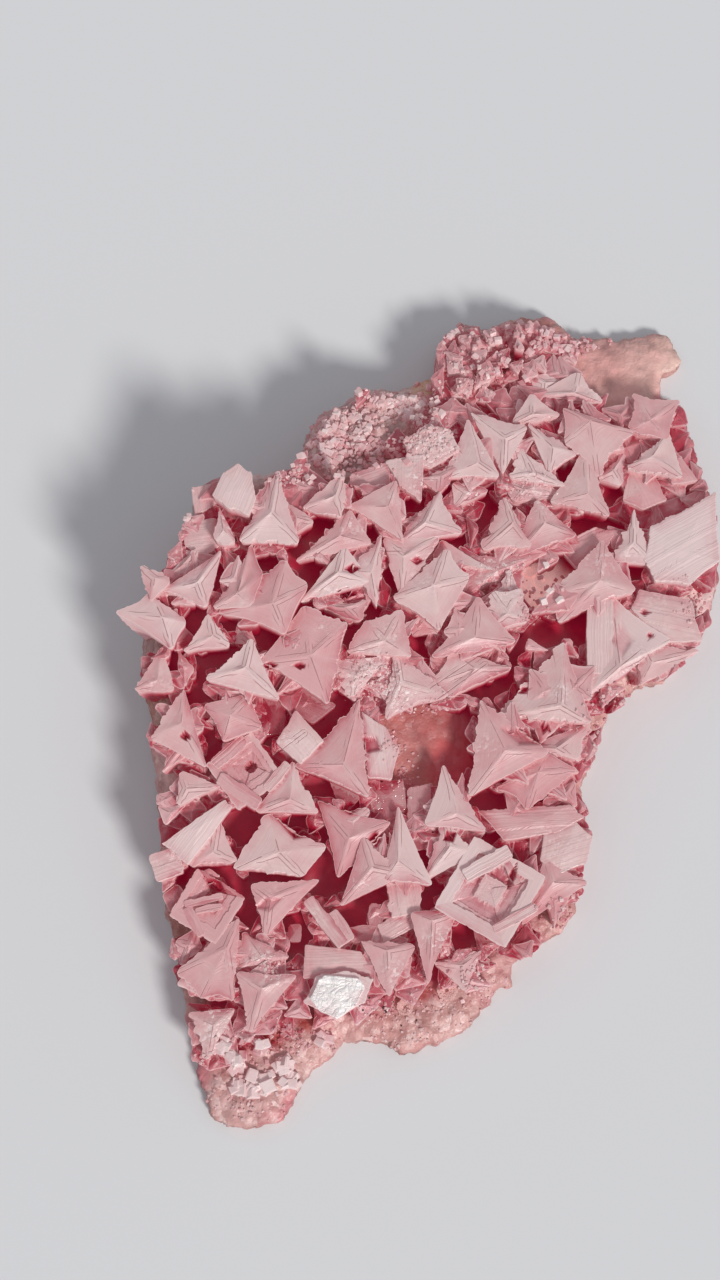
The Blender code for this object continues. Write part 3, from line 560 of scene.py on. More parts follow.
def crust_material():
    """Salt crust: its tint mottled at two sizes, whitened by frost on the grains' faces, grainy bump."""
    made, net, shader = new_material("pink salt crust", 0.42)
    where, tint = net.where(), net.read("tint", "Color")
    frost, down, lit = (net.read(label) for label in ("frost", "down", "lit"))
    sugar = net.node("Group", {"Vector": where, "Grain": 620.0}, node_tree=SUGAR).outputs
    mottle = net.ranged(net.noise(where, 260.0, 3.0, 0.6), 0.3, 0.7, 0.66, 1.08)
    faces = net.math("MULTIPLY", sugar["White"], frost)
    veil = net.math("MULTIPLY", net.ranged(net.noise(where, 420.0, 3.0), 0.46, 0.66), frost)
    white = net.math("MULTIPLY", net.math("MULTIPLY_ADD", veil, 0.45, faces, use_clamp=True), 0.75)
    mottled = net.vector("MULTIPLY", tint, mottle)
    net.feed(shader["Base Color"], net.mix(white, mottled, (0.83, 0.60, 0.575, 1.0)))
    # Painted glow: crimson where ground lies down in an open space, elsewhere a glow of its own tint by its
    # lit value, which lightens its shaded parts.
    net.feed(shader["Emission Color"], net.mix(down, net.vector("MULTIPLY", tint, lit), INNER_LIGHT))
    shader["Emission Strength"].default_value = 1.0
    grain = net.math("MULTIPLY", sugar["Height"], net.math("SUBTRACT", 1.0, down))
    net.feed(shader["Normal"], net.bump(grain, 0.40, 0.0006))
    made.cycles.emission_sampling = "NONE"
    return made


crust = crust_plate()
crust.data.materials.append(crust_material())
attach(crust, "root")
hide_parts("salt_crust")


# ---------------------------------------------------------------------------------------------------
# Halite crystals. Skeletal cubes that stand corner up: their edges outgrew their faces, so from above
# each is a star whose arms are the cube's edges, with thin seams along them and ragged sides. A few lie
# flat, or face up with square steps sunk in them. They are pale at the top and crimson in the depths.
# ---------------------------------------------------------------------------------------------------

# By the solid they grew into. A star is its corner, its tips in order round it, and how far it stands
# above the crust in millimetres. A plate is a flat-topped crystal by its corners and rise. A hopper is
# its middle, half side, turn in degrees and rise. A bar is its two ends, width and rise.
CLUMPS = {
    "crystals_upper_left": {"stars": [
        ((271, 512), [(279, 469), (238, 541), (300, 543)], 9.5),
        ((296, 517), [(284, 500), (315, 522), (295, 534)], 7.5),
        ((223, 529), [(219, 506), (215, 541), (236, 542)], 7.0),
        ((299, 485), [(283, 474), (319, 489), (288, 506)], 5.5),
    ], "plates": [
        ([(213, 495), (223, 474), (237, 464), (251, 474), (255, 496), (249, 514), (228, 506)], 9.0),
        ([(183, 524), (215, 519), (222, 545), (200, 556), (186, 545)], 3.5),
        ([(192, 488), (212, 485), (214, 503), (196, 515)], 3.0),
    ]},
    "crystals_left_tip": {"stars": [
        ((162, 617), [(113, 612), (150, 592), (187, 621), (172, 650)], 9.0),
        ((155, 578), [(139, 565), (171, 580), (150, 602)], 8.5),
        ((197, 582), [(161, 590), (222, 549), (206, 607)], 8.0),
        ((184, 563), [(166, 577), (197, 547), (198, 576)], 5.0),
        ((157, 680), [(162, 645), (133, 690), (174, 690)], 8.0),
    ]},
    "crystals_left": {"stars": [
        ((237, 593), [(252, 542), (263, 575), (251, 606), (212, 608)], 8.5),
        ((272, 603), [(285, 559), (309, 585), (285, 635), (217, 613)], 9.5),
        ((213, 635), [(208, 612), (231, 646), (181, 652)], 7.5),
        ((243, 635), [(242, 612), (257, 646), (231, 641)], 4.5),
    ]},
    "crystal_left_star": {"stars": [
        ((245, 667), [(252, 637), (281, 700), (204, 679)], 9.5),
        ((226, 690), [(205, 684), (258, 693), (230, 700)], 6.0),
    ]},
    "crystals_left_knot": {"stars": [
        ((181, 723), [(184, 688), (207, 768), (150, 737)], 8.5),
        ((230, 715), [(203, 705), (250, 694), (263, 727), (222, 742)], 8.0),
    ]},
    "crystals_left_hopper": {"stars": [
        ((186, 788), [(180, 771), (223, 786), (177, 806)], 8.0),
        ((290, 798), [(293, 760), (320, 813), (254, 812)], 9.0),
    ], "plates": [
        ([(277, 742), (296, 711), (323, 741), (301, 763)], 8.0),
    ], "frames": [
        ((245, 771), 27, -35, 7.0),
    ]},
    "crystals_upper_centre": {"stars": [
        ((335, 495), [(345, 467), (342, 517), (301, 508)], 9.0),
        ((388, 506), [(397, 480), (404, 541), (346, 506)], 9.0),
        ((340, 535), [(350, 509), (372, 543), (294, 562)], 8.0),
    ], "plates": [
        ([(351, 500), (352, 474), (388, 463), (389, 485)], 5.0),
    ]},
    "crystals_centre_left": {"stars": [
        ((338, 572), [(344, 546), (372, 582), (298, 603)], 8.0),
        ((371, 572), [(382, 534), (377, 608), (352, 570)], 8.5),
        ((345, 607), [(315, 605), (372, 600), (361, 622)], 6.5),
        ((310, 655), [(304, 605), (348, 622), (328, 705), (261, 661)], 9.5),
    ]},
    "crystals_centre": {"stars": [
        ((403, 556), [(383, 538), (440, 536), (402, 603)], 7.5),
        ((433, 585), [(446, 548), (470, 577), (439, 631), (392, 598)], 9.0),
        ((424, 620), [(421, 600), (440, 632), (410, 634)], 5.5),
        ((385, 640), [(366, 620), (402, 608), (412, 657), (345, 652)], 8.5),
        ((400, 682), [(395, 650), (450, 696), (384, 720)], 8.0),
        ((355, 676), [(322, 660), (390, 657), (352, 697)], 7.0),
    ]},
    "crystals_middle_cluster": {"stars": [
        ((475, 637), [(478, 595), (517, 642), (430, 657)], 10.0),
        ((507, 613), [(492, 591), (521, 587), (529, 621), (484, 632)], 9.0),
        ((475, 668), [(450, 650), (513, 668), (450, 698), (424, 686)], 8.5),
    ]},
    "crystals_top_centre": {"stars": [
        ((441, 476), [(463, 464), (439, 493), (421, 478)], 7.5),
        ((425, 522), [(440, 490), (464, 533), (393, 547)], 8.0),
        ((455, 563), [(441, 539), (498, 572), (432, 557)], 6.5),
        ((478, 462), [(468, 418), (500, 477), (441, 478)], 9.0),
        ((468, 492), [(452, 482), (490, 490), (454, 508)], 6.5),
    ], "plates": [
        ([(386, 462), (423, 455), (421, 500), (400, 484)], 7.0),
        ([(404, 440), (426, 425), (450, 430), (459, 450), (430, 466), (409, 460)], 7.5),
    ]},
    "crystals_top": {"stars": [
        ((505, 438), [(470, 412), (528, 427), (503, 474)], 8.5),
        ((533, 472), [(520, 447), (567, 487), (508, 477)], 8.0),
        ((525, 489), [(497, 479), (547, 484), (566, 496), (514, 501)], 6.5),
    ]},
    "crystals_top_right": {"stars": [
        ((533, 413), [(532, 393), (562, 415), (512, 423)], 8.0),
        ((553, 447), [(527, 423), (578, 453), (549, 475)], 8.0),
        ((590, 420), [(562, 407), (635, 432), (598, 479), (564, 442)], 9.5),
        ((575, 392), [(579, 372), (604, 403), (533, 396)], 6.5),
        ((545, 382), [(521, 371), (569, 380), (543, 398)], 5.0),
    ]},
    "crystal_right_star": {"stars": [
        ((588, 493), [(585, 442), (610, 517), (549, 503)], 9.0),
        ((613, 470), [(628, 447), (622, 485), (597, 478)], 6.0),
    ]},
    "crystals_right_upper": {"stars": [
        ((650, 420), [(632, 392), (681, 399), (668, 440), (629, 430)], 8.0),
        ((652, 456), [(668, 432), (683, 478), (626, 468)], 8.0),
        ((633, 543), [(634, 507), (656, 566), (613, 561)], 8.0),
    ], "plates": [
        ([(672, 446), (697, 480), (672, 483), (664, 462)], 6.0),
        ([(628, 472), (652, 472), (666, 500), (642, 508), (624, 500)], 5.0),
        ([(645, 560), (651, 527), (716, 492), (719, 560), (690, 583), (655, 580)], 8.5),
    ]},
    "crystals_beside_channel": {"stars": [
        ((513, 522), [(504, 496), (532, 547), (481, 550)], 8.5),
        ((545, 522), [(537, 499), (578, 535), (512, 559)], 8.0),
        ((497, 570), [(470, 557), (546, 552), (465, 596)], 6.5),
    ]},
    "crystal_channel_blade": {"stars": [
        ((600, 580), [(603, 539), (637, 590), (557, 624), (543, 596)], 9.5),
    ], "plates": [
        ([(557, 546), (595, 528), (618, 530), (605, 547), (578, 568)], 5.5),
    ]},
    "crystals_right": {"stars": [
        ((620, 666), [(612, 596), (672, 640), (584, 698)], 9.0),
        ((652, 662), [(640, 640), (702, 650), (640, 684)], 7.0),
    ], "plates": [
        ([(640, 590), (690, 600), (702, 640), (660, 642), (632, 608)], 7.0),
    ], "bars": [
        ((600, 600), (600, 672), 24, 7.5),
    ]},
    "crystals_great_pair": {"stars": [
        ((561, 705), [(564, 641), (592, 723), (495, 717)], 10.0),
        ((505, 750), [(480, 699), (550, 752), (469, 797)], 10.5),
        ((556, 748), [(591, 722), (577, 760), (530, 746)], 8.0),
        ((538, 772), [(546, 752), (578, 769), (526, 811), (494, 789)], 8.0),
    ]},
    "crystals_centre_star": {"stars": [
        ((343, 764), [(360, 697), (369, 798), (293, 766)], 9.5),
    ], "plates": [
        ([(362, 712), (385, 728), (398, 750), (391, 779), (368, 776)], 7.5),
    ]},
    "crystals_lower_centre": {"stars": [
        ((349, 838), [(316, 799), (392, 822), (337, 879)], 8.5),
        ((372, 867), [(362, 835), (406, 874), (339, 907)], 9.5),
        ((398, 860), [(398, 805), (433, 886), (384, 880)], 9.5),
    ], "plates": [
        ([(386, 882), (420, 886), (418, 912), (392, 917)], 7.0),
        ([(370, 780), (405, 788), (404, 812), (370, 806)], 3.0),
    ]},
    "crystals_lower_right_star": {"stars": [
        ((457, 813), [(443, 763), (487, 831), (424, 825)], 9.5),
        ((450, 846), [(445, 815), (479, 853), (421, 884)], 9.0),
    ]},
    "crystals_great_hopper": {"stars": [
        ((553, 882), [(546, 856), (589, 883), (521, 926)], 7.5),
    ], "plates": [
        ([(478, 811), (569, 805), (584, 817), (560, 830), (505, 840)], 7.0),
        ([(545, 832), (575, 822), (592, 838), (586, 862), (560, 872), (541, 860)], 7.0),
    ], "frames": [
        ((490, 892), 40, 30, 9.0),
    ]},
    "crystals_lower_fan": {"stars": [
        ((432, 920), [(411, 912), (460, 911), (428, 986)], 9.0),
        ((387, 950), [(360, 940), (416, 945), (389, 998)], 8.0),
        ((462, 965), [(432, 963), (482, 950), (466, 993)], 5.0),
    ], "plates": [
        ([(378, 925), (400, 915), (415, 905), (414, 925), (385, 943)], 6.0),
    ]},
    "crystals_lower_left_star": {"stars": [
        ((213, 852), [(219, 814), (238, 862), (188, 866)], 8.0),
    ], "plates": [
        ([(162, 843), (185, 828), (225, 800), (232, 806), (188, 864)], 9.0),
        ([(150, 856), (176, 847), (182, 872), (158, 881)], 8.0),
    ]},
    "crystals_lower_left_twin": {"stars": [
        ((279, 852), [(268, 812), (328, 846), (303, 876), (232, 869)], 9.0),
    ]},
    "crystals_lower_left_hopper": {"stars": [
        ((226, 948), [(239, 917), (234, 1003), (201, 1000), (175, 973)], 9.0),
    ], "frames": [
        ((207, 906), 27, 32, 7.0),
    ]},
    "crystals_bottom": {"stars": [
        ((270, 898), [(250, 884), (321, 879), (265, 937)], 9.0),
        ((262, 957), [(243, 930), (291, 957), (238, 968)], 7.5),
        ((262, 988), [(236, 972), (298, 975), (250, 1034)], 9.0),
        ((213, 1025), [(187, 1013), (236, 1008), (207, 1062)], 7.0),
    ], "plates": [
        ([(304, 1002), (318, 976), (345, 972), (373, 979), (365, 1000), (336, 1019)], 8.0),
        ([(304, 978), (306, 945), (360, 952), (374, 975)], 6.5),
    ], "bars": [
        ((309, 900), (343, 944), 12, 7.0),
        ((331, 914), (348, 940), 14, 6.5),
    ]},
}

STAR_SLOPE = 0.19                                # how far a star falls from its corner to its tips
STAR_WAIST = 0.86                                # how near its corner its hollow sides come
PLATE_SLOPE = 0.10
PLATE_WAIST = 0.96
GREAT_HALF = 30                                  # a hopper with a half side over this is a great one
FOOT_SCALE = 0.56                                # size of a stem where it meets the crust
SEAT_INSIDE = 0.0045                             # least distance from a stem's middle to the outline
SIDE_NET = 0.00034                               # spacing of points along a crystal's side
RAGGED = 0.00020                                 # how deep a crystal's side is notched

# Hollows in the tops: spot, half length and half width in steps, turn, depth in mm, redness.
HOLLOWS = [
    ((298, 826), 17, 10, 20, 2.2, 0.75),
    ((352, 568), 6, 4, 0, 1.6, 0.9),
    ((347, 592), 8, 4, 10, 1.6, 0.9),
    ((300, 665), 6, 3, 0, 1.5, 0.9),
    ((270, 665), 6, 3, 0, 1.5, 0.9),
    ((185, 735), 4, 4, 0, 1.5, 0.9),
    ((450, 836), 6, 5, -30, 1.6, 0.85),
    ((545, 727), 5, 4, 30, 1.2, 0.8),
    ((522, 736), 19, 7, 20, 0.9, 0.25),
    ((375, 839), 5, 7, 0, 1.4, 0.8),
    ((372, 744), 9, 8, 30, 1.0, 0.3),
    ((645, 612), 4, 3, 0, 1.0, 0.5),
    ((650, 635), 4, 3, 0, 1.0, 0.5),
    ((417, 560), 5, 4, 0, 1.0, 0.4),
    ((527, 662), 6, 4, 20, 1.1, 0.6),
    ((523, 690), 6, 3, -20, 1.1, 0.6),
    ((215, 885), 9, 6, 30, 1.2, 0.6),
    ((512, 876), 3, 12, 20, 1.4, 0.5),
    ((350, 808), 8, 5, 0, 1.0, 0.6),
    ((268, 903), 12, 6, -20, 0.7, 0.3),
    ((622, 640), 9, 14, 0, 0.7, 0.25),
]

# Longer seams across faces, by their two ends.
SEAMS = [
    ((278, 752), (305, 732)), ((618, 668), (640, 650)),
    ((484, 547), (512, 522)), ((382, 551), (400, 551)), ((320, 764), (343, 764)),
    ((430, 688), (480, 655)), ((436, 700), (486, 664)), ((228, 872), (262, 856)),
]

# Places where the salt is milky white or rosy, by spot, reach and how much (below 0 is rosy).
MILKY = [
    ((337, 996), 40, 0.7), ((682, 538), 44, 0.75), ((196, 832), 34, 0.55), ((236, 492), 20, 0.5),
    ((150, 570), 16, 0.6), ((372, 677), 28, 0.5), ((434, 445), 24, 0.5), ((530, 488), 26, 0.35),
    ((560, 748), 26, 0.35), ((455, 870), 34, 0.35), ((270, 966), 22, 0.4), ((500, 578), 30, 0.3),
    ((300, 748), 16, 0.5), ((352, 790), 20, 0.3), ((652, 640), 30, 0.25), ((207, 906), 40, -1.2),
    ((246, 771), 26, -0.35), ((300, 700), 24, -0.8), ((498, 894), 34, -0.25), ((540, 830), 26, -0.2),
    ((478, 760), 16, -0.3), ((330, 925), 24, -0.2), ((592, 541), 24, -1.2), ((290, 850), 60, -0.35),
]

# Sugary patches that grew over the tops, by spot, reach and how thick.
FROSTED = [
    ((372, 677), 30, 1.0), ((434, 445), 28, 0.9), ((470, 490), 12, 0.8), ((528, 488), 30, 0.6),
    ((500, 578), 30, 0.6), ((272, 966), 20, 0.8), ((352, 530), 12, 0.7), ((325, 625), 10, 0.6),
    ((180, 560), 14, 0.5), ((160, 690), 16, 0.6), ((395, 700), 14, 0.8), ((600, 560), 16, 0.5),
    ((560, 690), 10, 0.6), ((640, 655), 14, 0.5), ((215, 1030), 22, 0.8), ((560, 850), 18, 0.5),
    ((452, 945), 20, 0.6), ((395, 975), 16, 0.6), ((490, 960), 18, 0.7), ((420, 480), 14, 0.6),
]

# Hoppers whose steps close on a spot off their middle: middle, and that spot.
HOPPER_HEARTS = {(245, 771): (252, 764), (207, 906): (214, 890), (490, 892): (491, 889)}

# Ridged bars that grew on the hoppers' edges, by the hopper's middle: its clump and rise, then each bar's
# two ends, its width in steps and how far it stands above the hopper, in millimetres.
HOPPER_BARS = {
    (245, 771): ("crystals_left_hopper", 7.0, [
        ((215, 764), (243, 739), 11, 0.45), ((220, 778), (258, 804), 12, 0.6),
        ((267, 788), (287, 764), 8, 0.45),
    ]),
    (490, 892): ("crystals_great_hopper", 9.0, [
        ((466, 875), (509, 851), 13, 0.7), ((495, 929), (535, 907), 8, 0.3),
        ((508, 864), (517, 882), 6, 0.15),
    ]),
    (207, 906): ("crystals_lower_left_hopper", 7.0, [
        ((186, 904), (221, 896), 6, 0.45), ((188, 908), (201, 934), 8, 0.4),
        ((197, 911), (220, 906), 5, 0.75),
    ]),
}


def bar_corners(start, end, width):
    """The four corners of a bar of the layout."""
    start, end = np.array(start, float), np.array(end, float)
    side = np.array([start[1] - end[1], end[0] - start[0]]) * width / 2 / np.hypot(*(end - start))
    return [tuple(start + side), tuple(end + side), tuple(end - side), tuple(start - side)]


def named_crystals():
    """Every crystal of the layout, as its clump, middle, corners, rise in metres, slope, waist and kind."""
    listed = []

    def note(clump, kind, corners, rise, slope=0.0, waist=1.0, middle=None):
        """One crystal, about the mean of its corners if its middle isn't given."""
        middle = tuple(np.mean(corners, axis=0)) if middle is None else middle
        listed.append((clump, middle, corners, rise, slope, waist, kind))

    for clump, kinds in CLUMPS.items():
        for middle, tips, rise in kinds.get("stars", []):
            note(clump, "star", tips, rise * MM, STAR_SLOPE, STAR_WAIST, middle)
        for corners, rise in kinds.get("plates", []):
            note(clump, "plate", corners, rise * MM, PLATE_SLOPE, PLATE_WAIST)
        for start, end, width, rise in kinds.get("bars", []):
            note(clump, "bar", bar_corners(start, end, width), rise * MM)
        for middle, half, turn, rise in kinds.get("frames", []):
            corners, heart = square_corners(middle, half, turn), HOPPER_HEARTS.get(middle, middle)
            note(clump, "great" if half > GREAT_HALF else "hopper", corners, rise * MM, middle=heart)
    for middle, (clump, rise, bars) in HOPPER_BARS.items():
        under = standing([middle], rise * MM)[0]
        for start, end, width, above in bars:
            corners = bar_corners(start, end, width)
            own = standing([np.mean(corners, axis=0)], rise * MM)[0]
            lean = 0.5 * (mound(under[0], under[1]) - mound(own[0], own[1]))
            note(clump, "bar", corners, (rise + above) * MM + lean)
    return listed


def square_corners(middle, half, turn):
    """The corners of a square of the layout."""
    spin = math.radians(turn)
    corners = np.array([(-half, -half), (half, -half), (half, half), (-half, half)], dtype=float)
    spun = np.array([[math.cos(spin), math.sin(spin)], [-math.sin(spin), math.cos(spin)]])
    return [tuple(corner) for corner in corners @ spun + np.array(middle)]


def place_tips(peak, corners, slope):
    """Tips of a crystal: each falls from the peak by the slope, and leans by half of the mound's fall."""
    tips = laid(corners, peak[2])
    for _ in range(SETTLING):
        reach = np.hypot(tips[:, 0] - peak[0], tips[:, 1] - peak[1])
        lean = 0.5 * (mound(tips[:, 0], tips[:, 1]) - mound(peak[0], peak[1]))
        tips = laid(corners, peak[2] - slope * reach + lean)
    return tips


CRYSTALS = named_crystals()
PEAKS = np.array([standing([middle], rise)[0] for _, middle, _, rise, _, _, _ in CRYSTALS])


def top_area(corners):
    """Area of a polygon of the layout, in square metres, by the shoelace sum."""
    x, y = np.array(corners, dtype=float).T
    return 0.5 * abs(np.sum(x * np.roll(y, -1) - y * np.roll(x, -1))) * SPOT_SIZE ** 2


AREAS = np.array([top_area(corners) for _, _, corners, _, _, _, _ in CRYSTALS])


def shelter(points):
    """How shut in a place is, 0 to 1: most in and round the open spaces between crystals, and a little
    where crystals cover much of the ground round it, each counted by a bell 6 mm wide."""
    spread = 0.0058
    away = ((points[:, None, :2] - PEAKS[None, :, :2]) ** 2).sum(-1)
    cover = (np.exp(-away / (2 * spread ** 2)) * AREAS).sum(axis=1) / (2 * math.pi * spread ** 2)
    inward = inside_rim(points[:, 0], points[:, 1])
    under = np.clip((cover - 0.22) / 0.26, 0.0, 1.0) * np.clip((inward + 0.002) / 0.006, 0.0, 1.0)
    beside = np.exp(-into_gaps(spots_of(points), 9.0) ** 2)
    return np.clip(0.45 * under + beside, 0.0, 1.0)


def notches(along, seed, deep):
    """A ragged line: broken steps 1.7, 0.8 and 0.36 mm long, and a slow wave between them."""
    dice = np.random.default_rng(seed)
    big, coarse, fine = (
        dice.uniform(-1.0, 1.0, kinds)[(along / length + dice.uniform(0, 50)).astype(int) % kinds]
        for length, kinds in ((0.0017, 200), (0.0008, 200), (0.00036, 400)))
    wave = np.interp(along / 0.0022 % 190, np.arange(200), dice.uniform(-1.0, 1.0, 200))
    return deep * (0.9 * big + 0.55 * coarse + 0.3 * fine + 0.7 * wave)


# The rings of each kind's top, from its peak out: the share of the way to its side line, and how far the
# ring is sunk, in millimetres. Then the rings of the steep edge, as depth in metres and scale, and those
# of the walls, as share of the fall and scale.
STAR_RINGS = [(u, 0.0) for u in (0.05, 0.12, 0.2, 0.3, 0.4, 0.5, 0.6, 0.7, 0.79, 0.87, 0.93, 0.97, 1.0)]
PLATE_RINGS = [
    (0.10, 0.0), (0.24, 0.03), (0.38, 0.0), (0.50, 0.06), (0.62, 0.02), (0.74, 0.0), (0.84, 0.05),
    (0.92, 0.0), (0.97, 0.0), (1.0, 0.1),
]
LOW_RINGS = [(0.2, 0.0), (0.45, 0.0), (0.7, 0.0), (0.88, 0.0), (1.0, 0.05)]
HOPPER_RINGS = [
    (0.08, 2.9), (0.17, 2.7), (0.20, 1.2), (0.30, 1.1), (0.42, 0.95), (0.45, 0.6), (0.56, 0.55),
    (0.70, 0.45), (0.73, 0.1), (0.82, 0.05), (0.90, 0.0), (0.96, 0.0), (1.0, 0.05),
]
GREAT_RINGS = [
    (0.08, 0.6), (0.18, 0.55), (0.30, 0.5), (0.33, 1.5), (0.40, 1.7), (0.50, 1.5), (0.58, 1.3),
    (0.60, 0.9), (0.66, 0.85), (0.68, 0.1), (0.76, 0.05), (0.84, 0.0), (0.91, 0.0), (0.97, 0.0),
    (1.0, 0.05),
]
LOW_EDGE_RINGS = [(0.0001, 1.0), (0.0008, 0.98), (0.0018, 0.95)]
LOW_WALL_RINGS = [(0.30, 0.90), (0.33, 0.84), (0.70, 0.72), (1.0, FOOT_SCALE)]
EDGE_RINGS = [
    (0.00010, 1.0), (0.0004, 0.995), (0.0009, 0.985), (0.0010, 0.975), (0.0016, 0.965), (0.0022, 0.955),
]
WALL_RINGS = [
    (0.16, 0.94), (0.18, 0.90), (0.36, 0.87), (0.38, 0.83), (0.58, 0.79), (0.60, 0.74), (0.80, 0.68),
    (0.82, 0.62), (1.0, FOOT_SCALE),
]

PROFILES = {
    "star": STAR_RINGS, "low": LOW_RINGS, "side": LOW_RINGS, "hopper": HOPPER_RINGS, "great": GREAT_RINGS,
}
POINTED = ("star", "low", "side")                # kinds with arms and seams
SMALL = ("low", "side")                          # kinds with few courses
STEPPED = ("hopper", "great")                    # kinds with a sunk, stepped middle
RAGGEDNESS = [0.3, 0.6, 1.0, 1.5, 2.1]           # how ragged a side may be, against the usual
KIND_RAGGEDNESS = {"star": 1.0, "side": 1.0, "plate": 0.6}
OTHER_RAGGEDNESS = 0.4
RIDGES = {"bar": 3.0, "great": 2.0, "hopper": 2.2, "plate": 1.8}
OTHER_RIDGES = 1.3
FULL_SIZE = 0.004                                # faces lower than this are stepped and dished less
DISH = 0.00035                                   # how far a pointed crystal's face is dished
FOOT_DEPTH = 0.0008                              # how far a stem is sunk in the crust
FAR_OFF = 0.004                                  # distance given where there is no seam near


class Sides:
    """A crystal's side line, point by point: how far along its side a point is, the side's two tips, its
    notch, the height of the side's face, and how its dice shaped that side."""

    def __init__(self, tips, peak, dice, waist, kind, net):
        rows = []
        for first, last in zip(tips, np.roll(tips, -1, axis=0)):
            length = np.linalg.norm(last - first)
            count = max(6, int(length / net))
            share = np.arange(count) / count
            ragged = RAGGED * dice.choice(RAGGEDNESS) * KIND_RAGGEDNESS.get(kind, OTHER_RAGGEDNESS)
            notched = notches(share * length, dice.integers(1 << 30), ragged)
            high = np.linalg.norm(np.cross(last - first, peak - first)) / length
            drawn_in = waist + dice.uniform(-0.07, 0.10) if kind in POINTED else waist
            fold, steps = dice.uniform(0.2, 1.3), dice.uniform(0.55, 1.1)
            blush = max(0.0, dice.uniform(-0.3, 0.6))
            rows.append([share, np.tile(first, (count, 1)), np.tile(last, (count, 1)),
                         notched * np.minimum(1.0, np.sin(math.pi * share) * 3.0),
                         *(np.full(count, value) for value in (high, drawn_in, fold, steps, blush))])
        columns = [np.concatenate(column) for column in zip(*rows)]
        self.share, self.first, self.last, self.notch, self.high, waist, *shaped = columns
        self.fold, self.steps, self.blush = shaped
        self.count = len(self.share)
        self.size = min(1.0, self.high.mean() / FULL_SIZE)
        self.draw = 1.0 - (1.0 - waist) * np.sin(math.pi * self.share) ** 0.7
        out = np.stack([self.last[:, 1] - self.first[:, 1], self.first[:, 0] - self.last[:, 0]], axis=1)
        self.out = out / np.linalg.norm(out, axis=1)[:, None]

    def line(self, peak, kind):
        """The side line: drawn in towards the peak between tips, its tips blunted, and a little wider."""
        run = self.first + (self.last - self.first) * self.share[:, None]
        line = peak + self.draw[:, None] * (run - peak)
        blunt = 3 if kind == "star" else 1
        line = sum(np.roll(line, shift, axis=0) for shift in range(-blunt, blunt + 1)) / (2 * blunt + 1)
        reach = np.hypot(line[:, 0] - peak[0], line[:, 1] - peak[1])
        line[:, :2] += 0.0003 * (line[:, :2] - peak[:2]) / reach[:, None]
        return line


def top_rings(number, kind, peak, sides):
    """The rings of a crystal's top. Each lies a share of the way from the peak to the side line, is
    dropped by its kind's steps, and is dished most half way out."""
    line = sides.line(peak, kind)
    dish = (DISH if kind in POINTED else 0.0) * np.minimum(1.0, sides.high / FULL_SIZE)
    dish = dish * np.sin(math.pi * sides.share) ** 2 * sides.fold
    rings = []
    for out, drop in PROFILES.get(kind, PLATE_RINGS):
        ring = peak + out * (line - peak)
        jagged = sides.notch * out ** 5
        if drop and kind in STEPPED:
            jagged = notches(sides.share * 0.01, number + int(20 * out), 0.00014)
        ring[:, :2] += jagged[:, None] * sides.out
        ring[:, 2] -= drop * MM * sides.steps * sides.size + dish * 4 * out * (1 - out)
        rings.append(ring)
    return rings


def stem_seat(peak):
    """Where a crystal's stem stands: under its peak, or moved inwards if that is too near the rim."""
    seat = peak[:2].copy()
    inward = inside_rim(seat[:1], seat[1:2])[0]
    if inward < SEAT_INSIDE:
        back = seat - PLATE_SHIFT[:2]
        seat = seat - (SEAT_INSIDE - inward) * back / np.linalg.norm(back)
    return seat


def wall_rings(kind, peak, rim, sides, dice):
    """The rings of a crystal's steep edge and of the walls below it, drawn in course by course to a stem
    whose foot is sunk in the crust. Also the lowest point."""
    seat = stem_seat(peak)
    foot = seat + FOOT_SCALE * (rim[:, :2] - peak[:2])
    foot_z = crust_height(foot[:, 0], foot[:, 1], inside_rim(foot[:, 0], foot[:, 1])) - FOOT_DEPTH
    calm = rim.copy()
    calm[:, :2] -= 0.75 * sides.notch[:, None] * sides.out
    edges, courses = (LOW_EDGE_RINGS, LOW_WALL_RINGS) if kind in SMALL else (EDGE_RINGS, WALL_RINGS)
    rings = []

    def scaled(ring, scale, heights):
        """A ring drawn in to a scale, about a middle that moves from the peak to the seat."""
        middle = peak[:2] + (seat - peak[:2]) * (1.0 - scale) / (1.0 - FOOT_SCALE)
        rings.append(np.column_stack([middle + scale * (ring[:, :2] - peak[:2]), heights]))

    for depth, scale in edges:
        calmer = rim + min(1.0, depth / 0.0010) * (calm - rim)
        scaled(calmer, scale, np.maximum(rim[:, 2] - depth, 0.5 * (rim[:, 2] + foot_z)))
    edge_z = rings[-1][:, 2]
    jog = dice.uniform(-0.06, 0.06)
    for fall, scale in courses:
        scaled(calm, scale, edge_z + (foot_z - edge_z) * (fall if fall == 1.0 else fall + jog))
    return rings, np.append(seat, foot_z.mean())


def patches(spots, listed):
    """The sum of round patches at layout spots, each as strong as it is listed."""
    return sum(much * patch(spots, middle, reach) for middle, reach, much in listed)


def dented(points, spots, top, deep):
    """Presses the hollows into points of a top, and gives back their depth values, redder in hollows."""
    for spot, long, wide, spin, depth, red in HOLLOWS:
        c, s = math.cos(math.radians(spin)), math.sin(math.radians(spin))
        dx, dy = spots[:, 0] - spot[0], spots[:, 1] - spot[1]
        part = (abs(dx * c + dy * s) / long + abs(dy * c - dx * s) / wide) / 1.2
        near = np.exp(-part ** 5) * top
        points[:, 2] -= near * depth * MM
        deep = np.maximum(deep, np.clip(near * 1.3, 0, 1) * red)
    return deep


